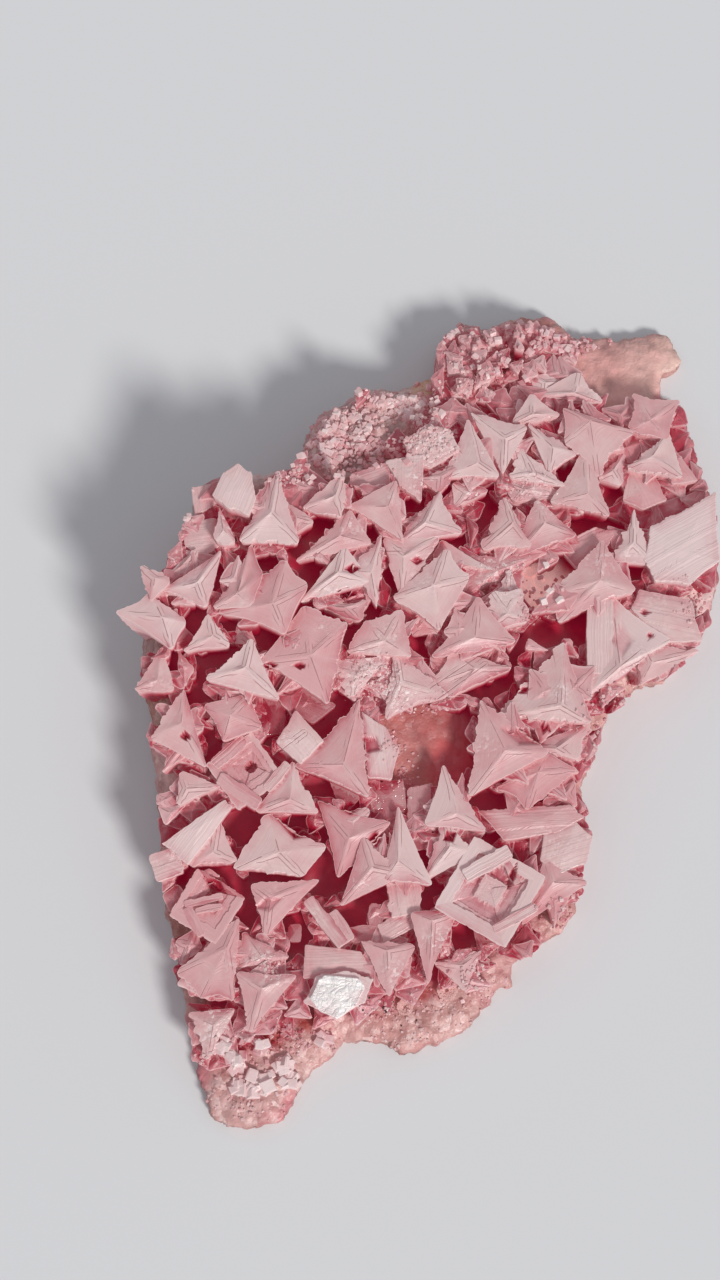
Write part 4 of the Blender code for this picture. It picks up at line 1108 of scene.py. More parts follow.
def arm_seams(flat, tips, peak, dice):
    """Distance to the nearest seam along an arm. A seam fades from a random share of its arm on."""
    seam = np.full(len(flat), FAR_OFF)
    for tip in tips:
        length = np.linalg.norm(tip[:2] - peak[:2])
        ahead = (tip[:2] - peak[:2]) / length
        along, aside = flat @ ahead, abs(flat[:, 0] * ahead[1] - flat[:, 1] * ahead[0])
        faint = dice.choice([0.0, 0.00003, 0.00008, 0.00012], p=[0.4, 0.25, 0.2, 0.15])
        fade = 0.00025 * np.clip((along / length - dice.uniform(0.25, 0.75)) / 0.15, 0.0, 1.0)
        seam = np.where(along > 0, np.minimum(seam, aside + faint + fade), seam)
    return seam


def long_seams(spots):
    """Distance to the nearest of the longer seams, below 0 on one side of it."""
    cut = np.full(len(spots), FAR_OFF)
    for start, end in SEAMS:
        start, end = np.array(start, float), np.array(end, float)
        length = np.linalg.norm(end - start)
        run = (end - start) / length
        along = (spots - start) @ run
        aside = ((spots[:, 0] - start[0]) * run[1] - (spots[:, 1] - start[1]) * run[0]) * SPOT_SIZE
        beyond = np.maximum(0.0, np.maximum(-along, along - length)) * SPOT_SIZE
        nearer = (abs(aside) + beyond < abs(cut)) & (beyond < 0.0006)
        cut = np.where(nearer, aside + np.sign(aside) * beyond, cut)
    return cut


def ring_faces(levels, count, size):
    """Quads between rings of a count of points each, and the fans to the first and the last point."""
    grid = 1 + np.arange(levels * count).reshape(levels, count)
    after = np.roll(grid, -1, axis=1)
    quads = np.stack([grid[:-1], grid[1:], after[1:], after[:-1]], axis=-1).reshape(-1, 4)
    top_fan = np.stack([np.zeros(count, int), grid[0], after[0]], axis=1)
    low_fan = np.stack([np.full(count, size - 1), after[-1], grid[-1]], axis=1)
    return quads, np.vstack([top_fan, low_fan])


def crystal(number, middle, corners, rise, slope, waist, kind, net=SIDE_NET, redder=0.0):
    """One crystal as points, quads, triangles and values. Its top is a fan of rings from the peak to the
    side line, and its walls repeat that line down to a stem."""
    peak = standing([middle], rise)[0]
    tips = place_tips(peak, corners, slope)
    turn = np.roll(tips, -1, axis=0)
    if np.sum(tips[:, 0] * turn[:, 1] - tips[:, 1] * turn[:, 0]) < 0:
        tips = tips[::-1]
        turn = np.roll(tips, -1, axis=0)
    dice = np.random.default_rng(100 + number)
    sides = Sides(tips, peak, dice, waist, kind, net)
    tops = top_rings(number, kind, peak, sides)
    rim = tops[-1]
    walls, low_point = wall_rings(kind, peak, rim, sides, dice)
    outs, steps = np.array(PROFILES.get(kind, PLATE_RINGS)).T
    steps = steps * MM
    points = np.vstack([peak - (0.0, 0.0, steps[0]), *tops, *walls, low_point])
    wall_drop = np.concatenate([rim[:, 2] - ring[:, 2] for ring in walls])
    face_left = np.concatenate([(1.0 - out) * sides.draw * sides.high for out in outs])
    drops = np.concatenate([steps[:1], np.repeat(steps, sides.count), wall_drop, [0.01]])
    edge_far = np.concatenate([[sides.high.min()], face_left, -wall_drop, [-0.01]])
    out = np.concatenate([[0.0], np.repeat(outs, sides.count), np.full(len(wall_drop) + 1, 1.2)])
    top = out <= 1.0

    spots, shut_in = spots_of(points), shelter(points)
    # Walls turn crimson with their drop below the rim, the salt's own colour deepening, and more where shut
    # in between crystals, which is painted shade.
    deep = np.where(top, 0.0, np.clip((drops - 0.0003) / 0.0034, 0.0, 1.0) * (0.25 + 0.75 * shut_in))
    if kind in STEPPED:
        deep = np.maximum(deep, np.where(top, np.clip(drops / 0.0055, 0.0, 0.8) * sides.size, 0.0))
    deep = dented(points, spots, top, deep)
    if redder:
        deep = np.clip(redder + deep, 0.0, 1.0)
    milky = patches(spots, MILKY) + 0.65 * dice.uniform(-1.0, 1.0)
    # A painted highlight: a paler line along the rim of the top.
    painted_rim_highlight = np.clip((out - 0.975) / 0.025, 0.0, 1.0) * (drops < steps[-1] + 0.00025)
    # Near their edges, sides are reddened by a random blush, more where shut in between crystals, which is
    # painted shade.
    blush = np.concatenate([[0.0], np.tile(sides.blush, len(tops) + len(walls)), [0.0]])
    near_edge = np.exp(-np.maximum(edge_far, 0.0) / 0.0016) * top
    deep = np.clip(deep + blush * near_edge * (0.35 + 0.65 * shut_in) * (1.0 - 0.7 * painted_rim_highlight), 0.0, 1.0)
    frost = patches(spots, FROSTED)
    if dice.uniform() < 0.5:
        heart = peak[:2] + dice.uniform(-0.004, 0.004, 2)
        frost += dice.uniform(0.3, 0.8) * np.exp(-((points[:, :2] - heart) ** 2).sum(axis=1) / 0.0022 ** 2)

    flat = points[:, :2] - peak[:2]
    if kind in ("plate", "bar"):
        longest = np.argmax(np.linalg.norm(turn - tips, axis=1))
        run = (turn[longest] - tips[longest])[:2]
        run = run / np.linalg.norm(run)
        across = flat[:, 0] * run[1] - flat[:, 1] * run[0] + dice.uniform(0, 0.02)
        edge_far = np.where(top, across, edge_far)
        ledges = dice.uniform(-1.0, 1.0, 64)[(edge_far / 0.0011).astype(int) % 64]
        points[:, 2] += 0.00014 * np.minimum(ledges, 0.3) * top
    seam = arm_seams(flat, tips, peak, dice) if kind in POINTED else FAR_OFF
    quads, fans = ring_faces(len(tops) + len(walls), sides.count, len(points))
    values = {
        "deep": deep, "seam": np.where(top, seam, FAR_OFF) * 1000,
        "cut": np.where(top, long_seams(spots), FAR_OFF) * 1000, "terrace": edge_far * 1000,
        "milky": milky, "frost": frost * top, "rim": painted_rim_highlight,
        "ridged": np.full(len(points), RIDGES.get(kind, OTHER_RIDGES)),
    }
    return points, quads, fans, values


def joined(name, made):
    """One piece from several crystals."""
    points = np.vstack([item[0] for item in made])
    starts = np.cumsum([0] + [len(item[0]) for item in made[:-1]])
    quads = np.vstack([item[1] + start for item, start in zip(made, starts)])
    fans = [item[2] + start for item, start in zip(made, starts)]
    piece = new_piece(name, in_box(points), quads.tolist() + np.vstack(fans).tolist())
    for label in made[0][3]:
        give(piece, label, np.concatenate([item[3][label] for item in made]))
    return piece


def growth_group():
    """Growth lines: fine ridges side by side along a crystal's edges, as a height and a tone."""
    takes = {"Vector": "Vector", "Terrace": "Float"}
    tree, net, came, goes = new_group("growth lines", takes, ("Height", "Tone"))
    moved = net.math("MULTIPLY_ADD", net.noise(came["Vector"], 260.0, 0.0), 0.5, came["Terrace"])
    along = {"W": moved, "Scale": 2.6, "Detail": 2.0, "Roughness": 0.65}
    lines = net.node("TexNoise", along, noise_dimensions="1D").outputs["Fac"]
    net.feed(goes["Height"], lines)
    net.feed(goes["Tone"], net.ranged(lines, 0.35, 0.65, 0.975, 1.015))
    return tree


GROWTH = growth_group()
SHADE_LIGHT = (0.070, 0.023, 0.025, 1.0)         # pink light from inside a crystal, where it is shaded
SOFT_LIGHT = 0.45                                # light spreads in salt: the share of slope taken off
DEPTH_TINTS = [                                  # what light keeps of its colour, by depth in the salt
    (0.28, (0.92, 0.76, 0.79, 1.0)), (0.50, (0.76, 0.43, 0.48, 1.0)), (0.75, (0.54, 0.12, 0.175, 1.0)),
]


def pale_top(net, where, milky, pale, rose):
    """The colour of a crystal's top: pale with clouds of rose, and whiter where the salt is milky."""
    cloudy = net.ranged(net.noise(where, 170.0, 3.0, 0.55), 0.35, 0.7)
    rosy = net.math("MULTIPLY_ADD", milky, -0.9, cloudy, use_clamp=True)
    whiter = net.math("MULTIPLY", milky, 0.6, use_clamp=True)
    return net.mix(whiter, net.mix(rosy, (*pale, 1.0), (*rose, 1.0)), (0.78, 0.655, 0.645, 1.0))


def smudged_depth(net, where, deep):
    """The depth value, smudged where it is above nothing."""
    smudge = net.math("SUBTRACT", net.noise(where, 700.0, 3.0), 0.5)
    depth = net.math("MULTIPLY_ADD", smudge, 0.25, deep, use_clamp=True)
    return net.math("MULTIPLY", depth, net.math("MULTIPLY", deep, 12.0, use_clamp=True))


def depth_dye(net, depth):
    """White, through rose to crimson, by depth."""
    dye = net.node("ValToRGB", {"Fac": depth})
    dye.color_ramp.elements[0].color = (1.0, 1.0, 1.0, 1.0)
    dye.color_ramp.elements[1].color = (0.46, 0.012, 0.052, 1.0)
    for at, colour in DEPTH_TINTS:
        dye.color_ramp.elements.new(at).color = colour
    return dye.outputs[0]


def seam_grooves(net, where, seam, cut):
    """Thin seams, from the distance to the nearest one, and here and there a second line beside them."""
    nearest = net.math("MINIMUM", seam, net.math("ABSOLUTE", cut))
    off = net.math("MULTIPLY_ADD", net.noise(where, 900.0, 1.0), 0.12, nearest)
    first = net.ranged(off, 0.08, 0.20, 0.85, 0.0, interpolation_type="SMOOTHSTEP")
    beside = net.math("ABSOLUTE", net.math("SUBTRACT", off, 0.78))
    line = net.ranged(beside, 0.02, 0.11, 0.75, 0.0, interpolation_type="SMOOTHSTEP")
    second = net.math("MULTIPLY", line, net.ranged(net.noise(where, 210.0, 0.0), 0.46, 0.56))
    return net.math("MAXIMUM", first, second)


def halite_material(name, pale, rose, roughness, clear=0.0):
    """Halite: pale at the top, through rose to crimson with depth and painted shade; seams painted dark
    as their grooves' shade, growth lines, sugar, a painted highlight along the rim and a painted glow.
    """
    made, net, shader = new_material(name, roughness)
    where = net.where()
    labels = ("milky", "deep", "terrace", "seam", "cut", "frost", "rim", "ridged")
    milky, deep, terrace, seam, cut, frost, rim, ridged = (net.read(label) for label in labels)
    growth = net.node("Group", {"Vector": where, "Terrace": terrace}, node_tree=GROWTH).outputs
    sugar = net.node("Group", {"Vector": where, "Grain": 1500.0}, node_tree=SUGAR).outputs
    depth, groove = smudged_depth(net, where, deep), seam_grooves(net, where, seam, cut)

    dyed = net.vector("MULTIPLY", pale_top(net, where, milky, pale, rose), depth_dye(net, depth))
    streaked = net.vector("MULTIPLY", dyed, net.math("POWER", growth["Tone"], ridged))
    specks = net.math("MULTIPLY", sugar["White"], frost, use_clamp=True)
    # Whitened by sugar specks and by the painted highlight along the rim.
    white = net.math("MAXIMUM", specks, net.math("MULTIPLY", rim, 0.45))
    brushed = net.mix(white, streaked, (0.86, 0.72, 0.71, 1.0))
    # Seams are painted dark: painted shade of their grooves.
    net.feed(shader["Base Color"], net.mix(groove, brushed, (0.33, 0.15, 0.16, 1.0)))
    # Painted glow: pink on the tops, lightening their shaded faces, and crimson with depth.
    net.feed(shader["Emission Color"], net.mix(net.math("POWER", depth, 2.6), SHADE_LIGHT, INNER_LIGHT))
    shader["Emission Strength"].default_value = 1.0
    shader["IOR"].default_value = 1.544
    shader["Transmission Weight"].default_value = clear

    ridges = net.math("MULTIPLY", growth["Height"], net.math("MULTIPLY", ridged, 0.30))
    grainy = net.math("MULTIPLY_ADD", frost, 0.9, 0.06)
    sugared = net.math("MULTIPLY_ADD", sugar["Height"], grainy, ridges)
    bent = net.bump(net.math("MULTIPLY_ADD", groove, -1.0, sugared), 0.7, 0.00035)
    share = net.math("MULTIPLY_ADD", depth, -SOFT_LIGHT, SOFT_LIGHT)
    softer = net.node("Mix", {0: share, 4: bent, 5: (0.0, 0.0, 1.0)}, data_type="VECTOR").outputs[1]
    net.feed(shader["Normal"], net.vector("NORMALIZE", softer))
    made.cycles.emission_sampling = "NONE"
    return made


HALITE = halite_material("pale pink halite", (0.695, 0.512, 0.50), (0.65, 0.375, 0.38), 0.38)
CLEAR_HALITE = halite_material("clear pink halite", (0.84, 0.62, 0.61), (0.80, 0.47, 0.48), 0.12, 0.50)


def inside_polygon(spots, corners):
    """Which spots lie inside a polygon: those with an odd number of its runs to one side."""
    corners = np.asarray(corners, dtype=float)
    odd = np.zeros(len(spots), bool)
    for (ax, ay), (bx, by) in zip(corners, np.roll(corners, -1, axis=0)):
        if ay != by:
            spans = (ay > spots[:, 1]) != (by > spots[:, 1])
            odd ^= spans & (spots[:, 0] < ax + (spots[:, 1] - ay) * (bx - ax) / (by - ay))
    return odd


def cut_short(spot, angles, reaches, least=4.0):
    """Tips of a small crystal: each goes its reach, but stops at an open space or at the rim."""
    ways = np.stack([np.cos(angles), np.sin(angles)], axis=1)
    trail = (spot + ways[:, None, :] * np.arange(1.0, 30.0)[None, :, None]).reshape(-1, 2)
    shut = ((into_gaps(trail, 2.0) < 1.0) | ~inside_polygon(trail, OUTLINE)).reshape(len(angles), -1)
    first = np.where(shut.any(axis=1), shut.argmax(axis=1), 99) + 0.5
    reaches = np.minimum(reaches, np.maximum(first, least))
    return spot + ways * reaches[:, None], reaches


def offshoots(number, middle, corners, rise):
    """Smaller crystals that grew out under a star's sides: each starts part of the way to a side's
    middle, turned a little, up to a millimetre lower, so that its tips make the star's side jagged."""
    dice = np.random.default_rng(3000 + number)
    middle, corners = np.array(middle, dtype=float), np.array(corners, dtype=float)
    grown = []
    for side in range(len(corners)):
        if dice.uniform() < 0.28:
            continue
        half = (corners[side] + corners[(side + 1) % len(corners)]) / 2
        share = dice.uniform(0.35, 0.95)
        spot = middle + share * (half - middle) + dice.uniform(-2.0, 2.0, 2)
        ahead = math.atan2(*(half - middle)[::-1])
        size = np.hypot(*(corners - middle).T).mean()
        count = dice.choice([3, 3, 4])
        angles = ahead + dice.uniform(-0.7, 0.7) + np.arange(count) * 2 * math.pi / count
        angles += dice.uniform(-0.25, 0.25, count)
        tips, reaches = cut_short(spot, angles, size * dice.uniform(0.35, 0.75, count))
        if np.sort(reaches)[-2] > 5.0:
            lower = dice.uniform(1.1, 2.4) * MM
            grown.append(crystal(4000 + 10 * number + side, tuple(spot), [tuple(tip) for tip in tips],
                                 rise - lower, 0.2, 0.86, "side", 0.00045, 0.16))
    return grown


for clump in CLUMPS:
    made = []
    for number, (owner, middle, corners, rise, slope, waist, kind) in enumerate(CRYSTALS):
        if owner == clump:
            made.append(crystal(number, middle, corners, rise, slope, waist, kind))
            if kind == "star":
                made += offshoots(number, middle, corners, rise)
    piece = joined("halite_" + clump.split("_", 1)[1], made)
    piece.data.materials.append(HALITE)
    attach(piece, "root")
    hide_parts(*[node for node in frame["nodes"] if node.rstrip("0123456789").rstrip("_") == clump])


# ---------------------------------------------------------------------------------------------------
# Low crystals. Halite stars that started late and fill the ground between the large ones, lower down
# and redder, leaving open only the deep spaces. They are grown one by one where ground is still bare.
# ---------------------------------------------------------------------------------------------------

LOW_NET = 0.0006                                 # spacing of points along a low crystal's side
FIELD_STEP = 3.0                                 # steps between the trial spots
FIELD_CORNER = (120.0, 330.0)
FIELD_END = (716.0, 1060.0)
LOBES = [((470, 358), 32), ((520, 345), 30), ((474, 392), 24), ((556, 348), 16), ((505, 372), 22)]


def waisted(middle, corners, waist):
    """A crystal's outline on the layout: its tips, and its sides' middles drawn in."""
    corners, middle = np.array(corners, dtype=float), np.array(middle, dtype=float)
    halves = middle + waist * ((corners + np.roll(corners, -1, axis=0)) / 2 - middle)
    return np.stack([corners, halves], axis=1).reshape(-1, 2)


def low_crystals():
    """Spots still bare are tried in a random order. A crystal grown there gets tips as long as its dice
    say, cut short of the open spaces and the rim, and its outline is then counted as covered."""
    dice = np.random.default_rng(41)
    axes = (np.arange(start, end, FIELD_STEP) for start, end in zip(FIELD_CORNER, FIELD_END))
    gx, gy = np.meshgrid(*axes)
    field = np.stack([gx.ravel(), gy.ravel()], axis=1)
    lobed = np.any([np.hypot(*(field - spot).T) < reach for spot, reach in LOBES], axis=0)
    bare = inside_polygon(field, OUTLINE) & ((openness(field) < 0.45) | lobed)
    bare &= (into_gaps(field, 3.0) > 1.0) & (field @ (0.35, 1.0) < 1150.0)
    for _, middle, corners, _, _, waist, _ in CRYSTALS:
        bare &= ~inside_polygon(field, waisted(middle, corners, waist))
    middles = np.array([crystal[1] for crystal in CRYSTALS], dtype=float)
    rises = np.array([crystal[3] for crystal in CRYSTALS])
    grown = []
    for spot in field[dice.permutation(np.flatnonzero(bare))]:
        column, row = np.round((spot - FIELD_CORNER) / FIELD_STEP).astype(int)
        index = row * gx.shape[1] + column
        if not bare[index]:
            continue
        count = dice.choice([3, 3, 3, 4, 4])
        angles = dice.uniform(0, 2 * math.pi) + np.arange(count) * 2 * math.pi / count
        angles += dice.uniform(-0.3, 0.3, count)
        reaches = dice.uniform(13.0, 24.0, count) * (0.5 if lobed[index] else 1.0)
        tips, reaches = cut_short(spot, angles, reaches)
        if np.sort(reaches)[-2] < 6.0:
            bare[index] = False
            continue
        near = np.exp(-((middles - spot) ** 2).sum(axis=1) / (2 * 30.0 ** 2))
        usual = (near * rises).sum() / near.sum()
        share = dice.uniform(0.5, 0.84)
        if lobed[index]:
            usual, share = dice.uniform(2.0, 4.2) * MM / share, dice.uniform(0.75, 0.95)
        grown.append((tuple(spot), [tuple(tip) for tip in tips], usual * share, share))
        wide = np.array(spot) + 1.35 * (np.array(tips) - spot)
        bare &= ~inside_polygon(field, wide)
    return grown


thirds = {"far": [], "middle": [], "near": []}
for number, (spot, tips, rise, share) in enumerate(low_crystals()):
    made = crystal(500 + number, spot, tips, rise, 0.35, 0.84, "low", LOW_NET, 0.08 + 0.95 * (1.0 - share))
    thirds["far" if spot[1] < 580 else "middle" if spot[1] < 800 else "near"].append(made)
for where, made in thirds.items():
    piece = joined("low_crystals_" + where, made)
    piece.data.materials.append(HALITE)
    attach(piece, "root")


# ---------------------------------------------------------------------------------------------------
# Low slabs. Thin face-up cubes and slabs of clear, salmon halite, down between the large crystals. They
# are plates on stems sunk in the crust, of a halite that passes on half of the light.
# ---------------------------------------------------------------------------------------------------

# By corners, rise in millimetres and redness.
LOW_SLABS = [
    ([(330, 780), (352, 775), (365, 790), (345, 812)], 4.6, 0.30),
    ([(370, 784), (402, 780), (405, 808), (374, 812)], 4.2, 0.26),
    ([(408, 790), (430, 785), (432, 846), (412, 850)], 5.4, 0.22),
    ([(370, 906), (382, 905), (382, 925), (371, 925)], 5.4, 0.20),
    ([(350, 928), (376, 925), (378, 940), (352, 941)], 4.8, 0.22),
    ([(264, 700), (285, 695), (284, 730), (262, 735)], 4.4, 0.45),
    ([(284, 703), (300, 688), (335, 705), (312, 722)], 5.6, 0.34),
    ([(290, 926), (300, 925), (300, 940), (290, 940)], 5.2, 0.26),
    ([(196, 886), (222, 878), (232, 902), (204, 912)], 4.4, 0.36),
    ([(300, 905), (322, 898), (332, 918), (310, 930)], 4.0, 0.30),
    ([(520, 700), (548, 694), (556, 716), (530, 724)], 5.0, 0.26),
    ([(600, 455), (622, 450), (628, 470), (606, 478)], 5.0, 0.22),
    ([(470, 470), (488, 462), (496, 478), (478, 488)], 5.0, 0.20),
]

made = []
for number, (corners, rise, redness) in enumerate(LOW_SLABS):
    middle = tuple(np.mean(corners, axis=0))
    made.append(crystal(900 + number, middle, corners, rise * MM, 0.02, 1.0, "plate", SIDE_NET, redness))
slabs = joined("low_slabs", made)
slabs.data.materials.append(CLEAR_HALITE)
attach(slabs, "root")


# ---------------------------------------------------------------------------------------------------
# Salt buttons. Small round nodules of salt, of the crust's look, that grew on open ground. Each is a
# low ten-sided hopper whose sunk steps make it cupped and ringed.
# ---------------------------------------------------------------------------------------------------

# By spot and half width in steps.
BUTTONS = [
    ((544, 580), 8), ((530, 568), 6), ((538, 604), 6), ((520, 592), 5), ((405, 1007), 7), ((447, 990), 9),
]
BUTTON_RISE = 1.2 * MM
BUTTON_TINT = (0.86, 0.52, 0.49)
turns = np.arange(10) * math.pi / 5
made = []
for number, (spot, wide) in enumerate(BUTTONS):
    place = standing([spot], 0.0)
    sunk = crust_height(place[:, 0], place[:, 1], inside_rim(place[:, 0], place[:, 1])) - place[:, 2]
    corners = np.array(spot) + wide * np.stack([np.cos(turns), np.sin(turns)], axis=1)
    made.append(crystal(970 + number, spot, corners, sunk[0] + BUTTON_RISE, 0.02, 1.0, "hopper"))
buttons = joined("low_buttons", made)
points = np.vstack([part[0] for part in made])
down, lit = passed_on(points, np.zeros(len(points)))
tint = np.tile(BUTTON_TINT, (len(points), 1))
for label, values in (("tint", tint), ("frost", 0.5 + down), ("down", down), ("lit", lit)):
    give(buttons, label, values)
buttons.data.materials.append(crust.data.materials[0])
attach(buttons, "root")


# ---------------------------------------------------------------------------------------------------
# White cap. The milky top of the face-up crystal at the near end, its salt crazed by fine cracks. It is
# an eight-sided plate, half a millimetre higher than that crystal and grown over it.
# ---------------------------------------------------------------------------------------------------

def crazed_material():
    """White salt with cracks: lines between cells of two sizes, grey and sunk, and a faceted, lumpy top."""
    made, net, shader = new_material("crazed white halite", 0.38)
    where, deep = net.where(), net.read("deep")
    bend = net.node("TexNoise", {"Vector": where, "Scale": 380.0, "Detail": 2.0}).outputs
    pushed = net.vector("MULTIPLY_ADD", bend["Color"], (0.0042, 0.0042, 0.0042), where)
    large, small = (net.cells(pushed, scale, feature="DISTANCE_TO_EDGE").outputs["Distance"]
                    for scale in (420.0, 1100.0))
    wide, thin = net.ranged(large, 0.01, 0.06, 0.22, 0.0), net.ranged(small, 0.01, 0.09, 0.28, 0.0)
    cracks = net.math("MAXIMUM", wide, thin)
    body = net.mix(deep, (0.95, 0.90, 0.885, 1.0), (0.62, 0.16, 0.20, 1.0))
    net.feed(shader["Base Color"], net.mix(cracks, body, (0.70, 0.62, 0.62, 1.0)))
    # Painted glow: the white salt glows a little, which lightens its shaded parts.
    shader["Emission Color"].default_value = (0.09, 0.08, 0.078, 1.0)
    shader["Emission Strength"].default_value = 1.0
    facets = net.math("MULTIPLY_ADD", large, 2.5, bend["Fac"])
    net.feed(shader["Normal"], net.bump(net.math("SUBTRACT", facets, cracks), 0.6, 0.0004))
    made.cycles.emission_sampling = "NONE"
    return made


CAP_CORNERS = [
    (318, 984), (325, 976), (358, 979), (364, 988), (356, 1003), (338, 1017), (320, 1010), (311, 998),
]
CAP_MIDDLE = (338, 993)
CAP_RISE = 8.5 * MM
cap = joined("white_cap", [crystal(960, CAP_MIDDLE, CAP_CORNERS, CAP_RISE, 0.06, 0.97, "plate")])
cap.data.materials.append(crazed_material())
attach(cap, "root")


# ---------------------------------------------------------------------------------------------------
# Salt grains. Loose and half-grown cubes of salt, from sugar to rice size, stuck on the crust and on
# some crystals where they settled. Each is a cube with its edges taken off.
# ---------------------------------------------------------------------------------------------------

# Where grains lie: spot, reach across and down in steps, how many, smallest and largest in mm, redness.
GRAIN_BEDS = [
    ((468, 345), 26, 20, 55, 0.4, 1.5, 0.10), ((515, 335), 28, 14, 50, 0.4, 1.6, 0.20),
    ((505, 365), 24, 18, 45, 0.4, 1.4, 0.30), ((550, 342), 20, 14, 40, 0.4, 1.4, 0.22),
    ((470, 385), 26, 12, 60, 0.3, 1.2, 0.10), ((580, 345), 26, 8, 60, 0.4, 1.4, 0.24),
    ((345, 425), 34, 16, 300, 0.3, 1.3, 0.02), ((395, 405), 34, 12, 300, 0.3, 1.3, 0.00),
    ((330, 450), 22, 22, 220, 0.3, 1.5, 0.14), ((372, 452), 32, 14, 200, 0.3, 1.2, 0.22),
    ((425, 440), 24, 16, 130, 0.3, 0.8, 0.00), ((420, 408), 20, 20, 120, 0.3, 1.3, 0.08),
    ((240, 1048), 30, 12, 40, 0.25, 0.9, 0.14), ((262, 1075), 34, 20, 40, 0.25, 0.9, 0.12),
    ((235, 1070), 24, 18, 20, 0.25, 0.9, 0.10), ((240, 1105), 34, 16, 70, 0.2, 0.6, 0.16),
    ((310, 1045), 30, 12, 70, 0.25, 0.8, 0.12), ((285, 1030), 18, 10, 50, 0.25, 0.9, 0.34),
    ((385, 1012), 36, 12, 70, 0.2, 0.6, 0.02), ((430, 1005), 44, 20, 90, 0.2, 0.6, 0.02),
    ((410, 1040), 44, 12, 50, 0.2, 0.5, 0.04), ((480, 985), 24, 16, 80, 0.2, 0.8, 0.04),
    ((405, 775), 10, 22, 50, 0.25, 0.6, 0.12), ((430, 706), 26, 10, 40, 0.25, 0.6, 0.12),
    ((392, 742), 10, 14, 30, 0.25, 0.6, 0.12), ((546, 586), 16, 16, 24, 0.6, 1.5, 0.00),
    ((530, 612), 14, 12, 40, 0.25, 0.6, 0.20), ((622, 696), 26, 12, 80, 0.2, 0.8, 0.04),
    ((600, 725), 18, 16, 50, 0.2, 0.7, 0.04), ((560, 915), 18, 16, 70, 0.2, 0.8, 0.06),
    ((692, 602), 14, 20, 70, 0.2, 0.6, 0.10), ((372, 677), 26, 18, 110, 0.2, 0.6, 0.00),
    ((497, 578), 28, 20, 50, 0.2, 0.5, 0.00), ((528, 488), 28, 12, 40, 0.2, 0.5, 0.00),
    ((272, 966), 16, 10, 40, 0.2, 0.5, 0.00), ((205, 1058), 12, 8, 16, 0.3, 0.8, 0.04),
    ((180, 500), 12, 22, 60, 0.4, 1.2, 0.02), ((290, 475), 18, 10, 50, 0.3, 1.0, 0.05),
    ((236, 1062), 7, 8, 16, 1.4, 2.8, 0.00), ((241, 1088), 6, 7, 10, 1.3, 2.4, 0.00),
    ((262, 1084), 10, 8, 26, 1.2, 2.5, 0.00), ((283, 1068), 9, 8, 22, 1.2, 2.4, 0.00),
    ((290, 1080), 6, 5, 10, 1.0, 2.0, 0.00), ((262, 1046), 4, 6, 8, 1.0, 2.0, 0.00),
    ((324, 1040), 7, 5, 10, 1.0, 2.2, 0.00), ((222, 1048), 6, 6, 10, 1.0, 2.1, 0.00),
]

GROWN = ("halite_", "low_", "white_", "grains_")     # how the names of what grew on the crust begin


def built(*starts):
    """The pieces built so far whose names start in one of these ways."""
    return [piece for piece in bpy.data.objects
            if piece.name.startswith(starts) and piece.name not in frame["nodes"]]


graph = bpy.context.evaluated_depsgraph_get()
TREES = [BVHTree.FromObject(piece, graph) for piece in built("salt_crust_skin", *GROWN)]


def settled(spots):
    """Where the sight lines through layout spots first meet what is built, and which ones do."""
    ways = laid(spots, 0.0) - (EYE + PLATE_SHIFT)
    ways /= np.linalg.norm(ways, axis=1)[:, None]
    places, found = np.zeros((len(spots), 3)), np.zeros(len(spots), bool)
    start = Vector(EYE + PLATE_SHIFT)
    for index, way in enumerate(ways):
        hits = [tree.ray_cast(start, Vector(way)) for tree in TREES]
        hits = [hit for hit in hits if hit[0] is not None]
        if hits:
            places[index] = min(hits, key=lambda hit: hit[3])[0]
            found[index] = True
    return places, found


FLAT_SHARE = 0.80                                # how much of a grain's faces is flat


def cube_form():
    """A cube with its edges and corners taken off: the corners of three boxes, each long one way."""
    signs = np.array([(x, y, z) for x in (-1, 1) for y in (-1, 1) for z in (-1, 1)], dtype=float)
    points = np.concatenate([signs * size for size in np.where(np.eye(3) == 1, 1.0, FLAT_SHARE)])
    faces = []
    for axis in range(3):
        block = axis * 8
        others = [other for other in range(3) if other != axis]
        for sign in (-1, 1):
            ring = [k for k in range(8) if signs[k, axis] == sign]
            ring.sort(key=lambda k: math.atan2(signs[k, others[1]], signs[k, others[0]]))
            faces.append([block + k for k in ring])
    for axis in range(3):
        first, second = [other for other in range(3) if other != axis]
        for one in (-1, 1):
            for two in (-1, 1):
                a, b = (k for k in range(8) if signs[k, first] == one and signs[k, second] == two)
                faces.append([first * 8 + a, first * 8 + b, second * 8 + b, second * 8 + a])
    faces += [[k, 8 + k, 16 + k] for k in range(8)]
    outward = []
    for face in faces:
        a, b, c = (points[k] for k in face[:3])
        outward.append(face if np.dot(np.cross(b - a, c - a), points[face].mean(axis=0)) > 0 else face[::-1])
    return points, outward


def spun(count, dice, tilt):
    """Rotation matrices: a random turn about the upright, then a tilt about a random level axis."""
    turn, lean = dice.uniform(0, math.pi / 2, count), tilt * dice.uniform(0, 1, count)
    way = dice.uniform(0, 2 * math.pi, count)
    w, x, y = np.cos(lean / 2), np.sin(lean / 2) * np.cos(way), np.sin(lean / 2) * np.sin(way)
    zero, one = np.zeros(count), np.ones(count)
    laid_over = np.array([
        [1 - 2 * y * y, 2 * x * y, 2 * y * w],
        [2 * x * y, 1 - 2 * x * x, -2 * x * w],
        [-2 * y * w, 2 * x * w, 1 - 2 * (x * x + y * y)],
    ])
    east, north = np.cos(turn), np.sin(turn)
    turned = np.array([[east, -north, zero], [north, east, zero], [zero, zero, one]])
    return np.moveaxis(laid_over, -1, 0) @ np.moveaxis(turned, -1, 0)


GRAIN_VALUES = {"seam": 4.0, "cut": 4.0, "terrace": 1.0, "frost": 0.15, "rim": 0.0, "ridged": 0.9}


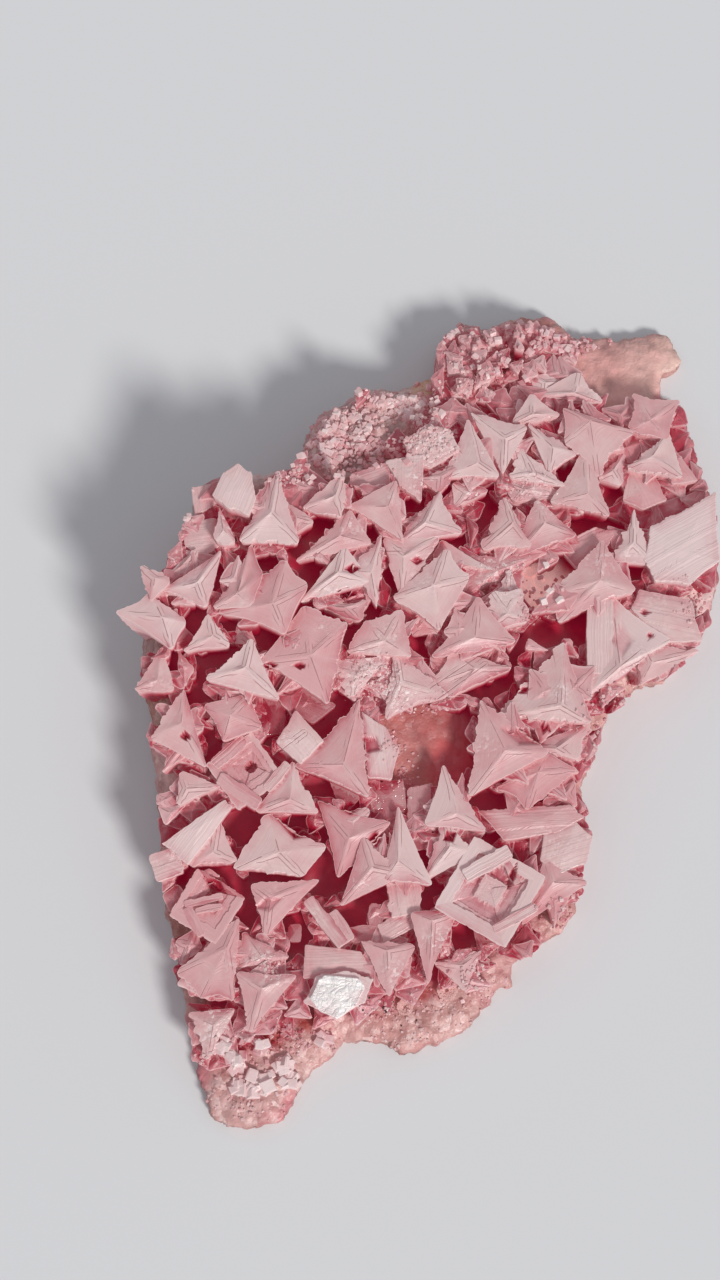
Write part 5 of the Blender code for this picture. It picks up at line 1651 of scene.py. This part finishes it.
def grain_piece(name, beds, seed, material=HALITE):
    """Grains thrown on their beds: places by a bell round each bed's spot, sizes mostly small, each
    sunk by a third where it settled."""
    dice = np.random.default_rng(seed)
    spots, sizes, reds = [], [], []
    for spot, wide, tall, count, small, large, red in beds:
        throw = np.clip(dice.normal(0.0, 0.6, (count, 2)), -1.3, 1.3) * (wide, tall)
        spots.append(np.array(spot) + throw)
        sizes.append((small + (large - small) * dice.uniform(0, 1, count) ** 2.2) * MM / 2)
        reds.append(np.clip(red + dice.normal(0.0, 0.06, count), 0.0, 0.6))
    spots, sizes, reds = np.concatenate(spots), np.concatenate(sizes), np.concatenate(reds)
    places, found = settled(spots)
    places, sizes, reds = places[found], sizes[found], reds[found]
    form, faces = cube_form()
    stretch = dice.uniform(0.7, 1.25, (len(sizes), 1, 3)) * sizes[:, None, None]
    turned = (form[None] * stretch) @ np.transpose(spun(len(sizes), dice, 0.7), (0, 2, 1))
    turned *= dice.uniform(0.80, 1.12, (*turned.shape[:2], 1))
    points = places[:, None, :] + turned + np.array([0.0, 0.0, 0.3]) * sizes[:, None, None]
    starts = np.arange(len(sizes)) * len(form)
    every = []
    for corners in (4, 3):
        same = np.array([face for face in faces if len(face) == corners])
        every += (same[None] + starts[:, None, None]).reshape(-1, corners).tolist()
    piece = new_piece(name, in_box(points.reshape(-1, 3)), every)
    milky = dice.uniform(-0.3, 0.9, len(sizes)) + 1.2 * (sizes > 0.6 * MM)
    give(piece, "deep", np.repeat(reds, len(form)))
    give(piece, "milky", np.repeat(milky, len(form)))
    for label, value in GRAIN_VALUES.items():
        give(piece, label, np.full(len(sizes) * len(form), value))
    piece.data.materials.append(material)
    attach(piece, "root")


grain_piece("grains_far_side", [bed for bed in GRAIN_BEDS if bed[0][1] < 480], 51)
grain_piece("grains_middle", [bed for bed in GRAIN_BEDS if 480 <= bed[0][1] < 900], 52)
grain_piece("grains_near_side", [bed for bed in GRAIN_BEDS if bed[0][1] >= 900], 53)


# ---------------------------------------------------------------------------------------------------
# Dark specks. A few bits of dark grit, a third of a millimetre across, caught in the crust at the near
# side.
# ---------------------------------------------------------------------------------------------------

SPECKS = [
    (360, 1006), (363, 1010), (369, 998), (384, 1008), (417, 1020), (401, 1026), (386, 1011), (393, 1002),
]

grit, net, shader = new_material("dark grit", 0.6)
mottle = net.noise(net.where(), 6000.0, 2.0)
net.feed(shader["Base Color"], net.mix(mottle, (0.012, 0.010, 0.010, 1.0), (0.07, 0.045, 0.04, 1.0)))
grain_piece("dark_specks", [(spot, 0.5, 0.5, 1, 0.3, 0.5, 0.0) for spot in SPECKS], 54, grit)


# ---------------------------------------------------------------------------------------------------
# Rose shade, painted. Beside a taller crystal, light comes through salt and is pink; here that shade is
# painted into the colour. The more a top is stood over by its neighbours, the more its depth value grows,
# which its material turns to rose.
# ---------------------------------------------------------------------------------------------------

CELL = 0.0004                                    # the height map's cells
MARGIN = 0.006                                   # room round the pieces in the height map
LOOK_OUT = (0.0007, 0.0014, 0.0024, 0.0038)      # how far off neighbours are looked for
ROSE_SHADE = 0.62                                # how much the depth value grows at the most


def corner_points(piece):
    """The points of a piece."""
    points = np.empty(len(piece.data.vertices) * 3)
    piece.data.vertices.foreach_get("co", points)
    return points.reshape(-1, 3)


def height_map(pieces):
    """The highest point in each cell of a square net, as a grid, and the grid's low corner."""
    points = np.vstack([corner_points(piece) for piece in pieces])
    low = points[:, :2].min(axis=0) - MARGIN
    cells = ((points[:, :2] - low) / CELL).astype(int)
    tops = np.zeros(cells.max(axis=0) + int(MARGIN / CELL))
    np.maximum.at(tops, (cells[:, 0], cells[:, 1]), points[:, 2])
    return tops, low


def stood_over(points, tops, low):
    """How far points are stood over, 0 to 1: the steepest rise to the height map at four distances, less
    a fifth, averaged over twelve directions, and nothing for points under the map."""
    total = np.zeros(len(points))
    for way in np.arange(12) * math.pi / 6:
        steepest = np.zeros(len(points))
        for out in LOOK_OUT:
            at = ((points[:, :2] + out * np.array([math.cos(way), math.sin(way)]) - low) / CELL).astype(int)
            steepest = np.maximum(steepest, (tops[at[:, 0], at[:, 1]] - points[:, 2]) / out)
        total += np.clip(steepest - 0.2, 0.0, 1.2) / 1.2
    at = ((points[:, :2] - low) / CELL).astype(int)
    return total / 12 * (points[:, 2] > tops[at[:, 0], at[:, 1]] - 0.0006)


shaded = built(*GROWN)
tops, low_corner = height_map(shaded)
for piece in shaded:
    layer = piece.data.attributes["deep"].data
    deep = np.empty(len(layer), dtype=np.float32)
    layer.foreach_get("value", deep)
    rose = ROSE_SHADE * stood_over(corner_points(piece), tops, low_corner)
    layer.foreach_set("value", np.clip(deep + rose, 0.0, 1.0).astype(np.float32))


# ---------------------------------------------------------------------------------------------------
# Studio. A plain pale table top, one broad lamp from the near right and even soft light from all
# round, and the camera over the near side.
# ---------------------------------------------------------------------------------------------------

def table_top():
    """A flat square net."""
    side = np.linspace(-1.6, 1.6, 9)
    x, y = np.meshgrid(side, side)
    points = np.stack([x.ravel(), y.ravel(), np.zeros(x.size)], axis=1)
    number = np.arange(x.size).reshape(x.shape)
    corners = (number[:-1, :-1], number[:-1, 1:], number[1:, 1:], number[1:, :-1])
    piece = new_piece("table_top", points, np.stack(corners, axis=-1).reshape(-1, 4))
    made, _, shader = new_material("pale table", 0.75)
    shader["Base Color"].default_value = (0.745, 0.75, 0.765, 1.0)
    piece.data.materials.append(made)
    return piece


table_top()

scene = bpy.context.scene
scene.world = bpy.data.worlds.new("soft light")
scene.world.use_nodes = True
all_round = scene.world.node_tree.nodes["Background"].inputs
all_round["Color"].default_value = (0.95, 0.97, 1.03, 1.0)
all_round["Strength"].default_value = 0.40

lamp = bpy.data.lights.new("lamp", "SUN")
lamp.energy = 2.45
lamp.angle = math.radians(12.0)
lamp.color = (1.0, 0.985, 0.955)
lamp_holder = bpy.data.objects.new("lamp", lamp)
scene.collection.objects.link(lamp_holder)
LAMP_RISE = math.radians(37.0)                   # how high the light comes from
LAMP_TURN = math.radians(33.0)                   # from straight in front towards the right
lamp_holder.rotation_euler = (math.pi / 2 - LAMP_RISE, 0.0, LAMP_TURN)

camera = bpy.data.cameras.new("camera")
camera.sensor_fit = "VERTICAL"
camera.sensor_height = 36.0
camera.lens = camera.sensor_height / 2 * EYE_REACH / (SPOT_MIDDLE[1] * SPOT_SIZE)
camera_holder = bpy.data.objects.new("camera", camera)
scene.collection.objects.link(camera_holder)
camera_holder.location = EYE + PLATE_SHIFT
camera_holder.rotation_euler = (math.pi / 2 - EYE_TILT, 0.0, 0.0)
scene.camera = camera_holder
scene.view_settings.view_transform = "Standard"
